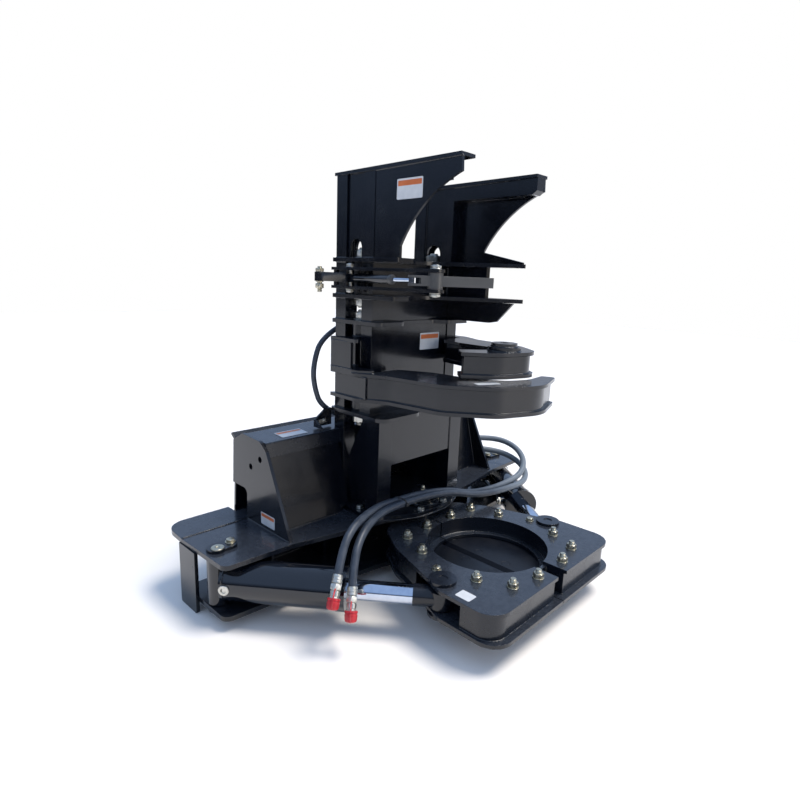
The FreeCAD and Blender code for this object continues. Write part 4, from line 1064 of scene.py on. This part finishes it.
# %% Floor
FLOOR_HALF = 14
corners = [(-FLOOR_HALF, -FLOOR_HALF, 0), (FLOOR_HALF, -FLOOR_HALF, 0),
           (FLOOR_HALF, FLOOR_HALF, 0), (-FLOOR_HALF, FLOOR_HALF, 0)]
floor_mesh = bpy.data.meshes.new("floor")
floor_mesh.from_pydata(corners, [], [(0, 1, 2, 3)])
floor = bpy.data.objects.new("floor", floor_mesh)
bpy.context.scene.collection.objects.link(floor)
net = Net("floor_paint")
grain = net.noise(2.0, 3.0)
tone = net.ramp(grain, "Fac", 0.3, 0.7, (0.91, 0.855, 0.79), (0.94, 0.88, 0.81))
net.link(tone, "Color", net.shader, "Base Color")
net.set(Roughness=0.9)
floor_mesh.materials.append(net.mat)
print("floor:", 2 * FLOOR_HALF, "m wide")

# %% [markdown]
# ## Sky
#
# The picture was taken in the open: tops are pale blue, faces to the front are warm and
# faces to the left are almost black. The sky is a ramp from dark on the left to tan on
# the right, which turns blue overhead. A photograph of a sky could light the scene too,
# but two ramps are plain to read and to move.

# %% Sky that lights the part, white to the camera
world = bpy.data.worlds.new("sky")
world.use_nodes = True
bpy.context.scene.world = world
sky = world.node_tree
sky.nodes.clear()
output = sky.nodes.new("ShaderNodeOutputWorld")
seen = sky.nodes.new("ShaderNodeBackground")
seen.inputs["Color"].default_value = (1, 1, 1, 1)
lit = sky.nodes.new("ShaderNodeBackground")
gate = sky.nodes.new("ShaderNodeMixShader")
path = sky.nodes.new("ShaderNodeLightPath")
where = sky.nodes.new("ShaderNodeTexCoord")
split = sky.nodes.new("ShaderNodeSeparateXYZ")
sky.links.new(where.outputs["Generated"], split.inputs["Vector"])


def sky_ramp(socket, stops):
    made = sky.nodes.new("ShaderNodeValToRGB")
    sky.links.new(split.outputs[socket], made.inputs["Fac"])
    for spare in range(len(stops) - 2):
        made.color_ramp.elements.new(0.5)
    for element, (position, colour) in zip(made.color_ramp.elements, stops):
        element.position = position
        element.color = (*colour, 1)
    return made


ground = sky_ramp("X", [
    (0.0, (0.05, 0.055, 0.07)), (0.30, (0.22, 0.20, 0.172)), (0.85, (0.42, 0.375, 0.32))])
dome = sky_ramp("Z", [(0.04, (0, 0, 0)), (0.30, (1, 1, 1))])
blend = sky.nodes.new("ShaderNodeMix")
blend.data_type = "RGBA"
blend.inputs[7].default_value = (0.42, 0.58, 0.88, 1)
sky.links.new(dome.outputs["Color"], blend.inputs[0])
sky.links.new(ground.outputs["Color"], blend.inputs[6])
sky.links.new(blend.outputs[2], lit.inputs["Color"])
sky.links.new(path.outputs["Is Camera Ray"], gate.inputs["Fac"])
sky.links.new(lit.outputs["Background"], gate.inputs[1])
sky.links.new(seen.outputs["Background"], gate.inputs[2])
sky.links.new(gate.outputs["Shader"], output.inputs["Surface"])
print("sky nodes:", len(sky.nodes))

# %% [markdown]
# ## Lamps
#
# A broad soft sun from the front right gives the shadow, and one wide lamp lifts the
# faces towards the jaws. A ring of lamps would be softer still, but the coat is glossy
# and would show every one of them.

# %% Sun and front lamp
def lamp(name, kind, place, target, size, power, colour):
    light = bpy.data.lights.new(name, kind)
    light.energy = power
    light.color = colour
    if kind == "SUN":
        light.angle = math.radians(size)
    else:
        light.shape = "DISK"
        light.size = size
    made = bpy.data.objects.new(name, light)
    made.location = place
    made.rotation_euler = (Vector(target) - Vector(place)).to_track_quat("-Z", "Y").to_euler()
    bpy.context.scene.collection.objects.link(made)


lamp("sun_lamp", "SUN", (1.6, -1.4, 4.6), (0, 0, 0), 24, 3.0, (1.0, 0.955, 0.89))
lamp("front_lamp", "AREA", (1.2, -5.0, 1.7), (0, 0, 0.6), 2.6, 45, (1.0, 0.92, 0.82))
bpy.context.scene.view_settings.view_transform = "Standard"
print("lamps:", len(bpy.data.lights))

# %% [markdown]
# ## Close
#
# The view layer is brought up to date.

# %% Update the view layer
bpy.context.view_layer.update()
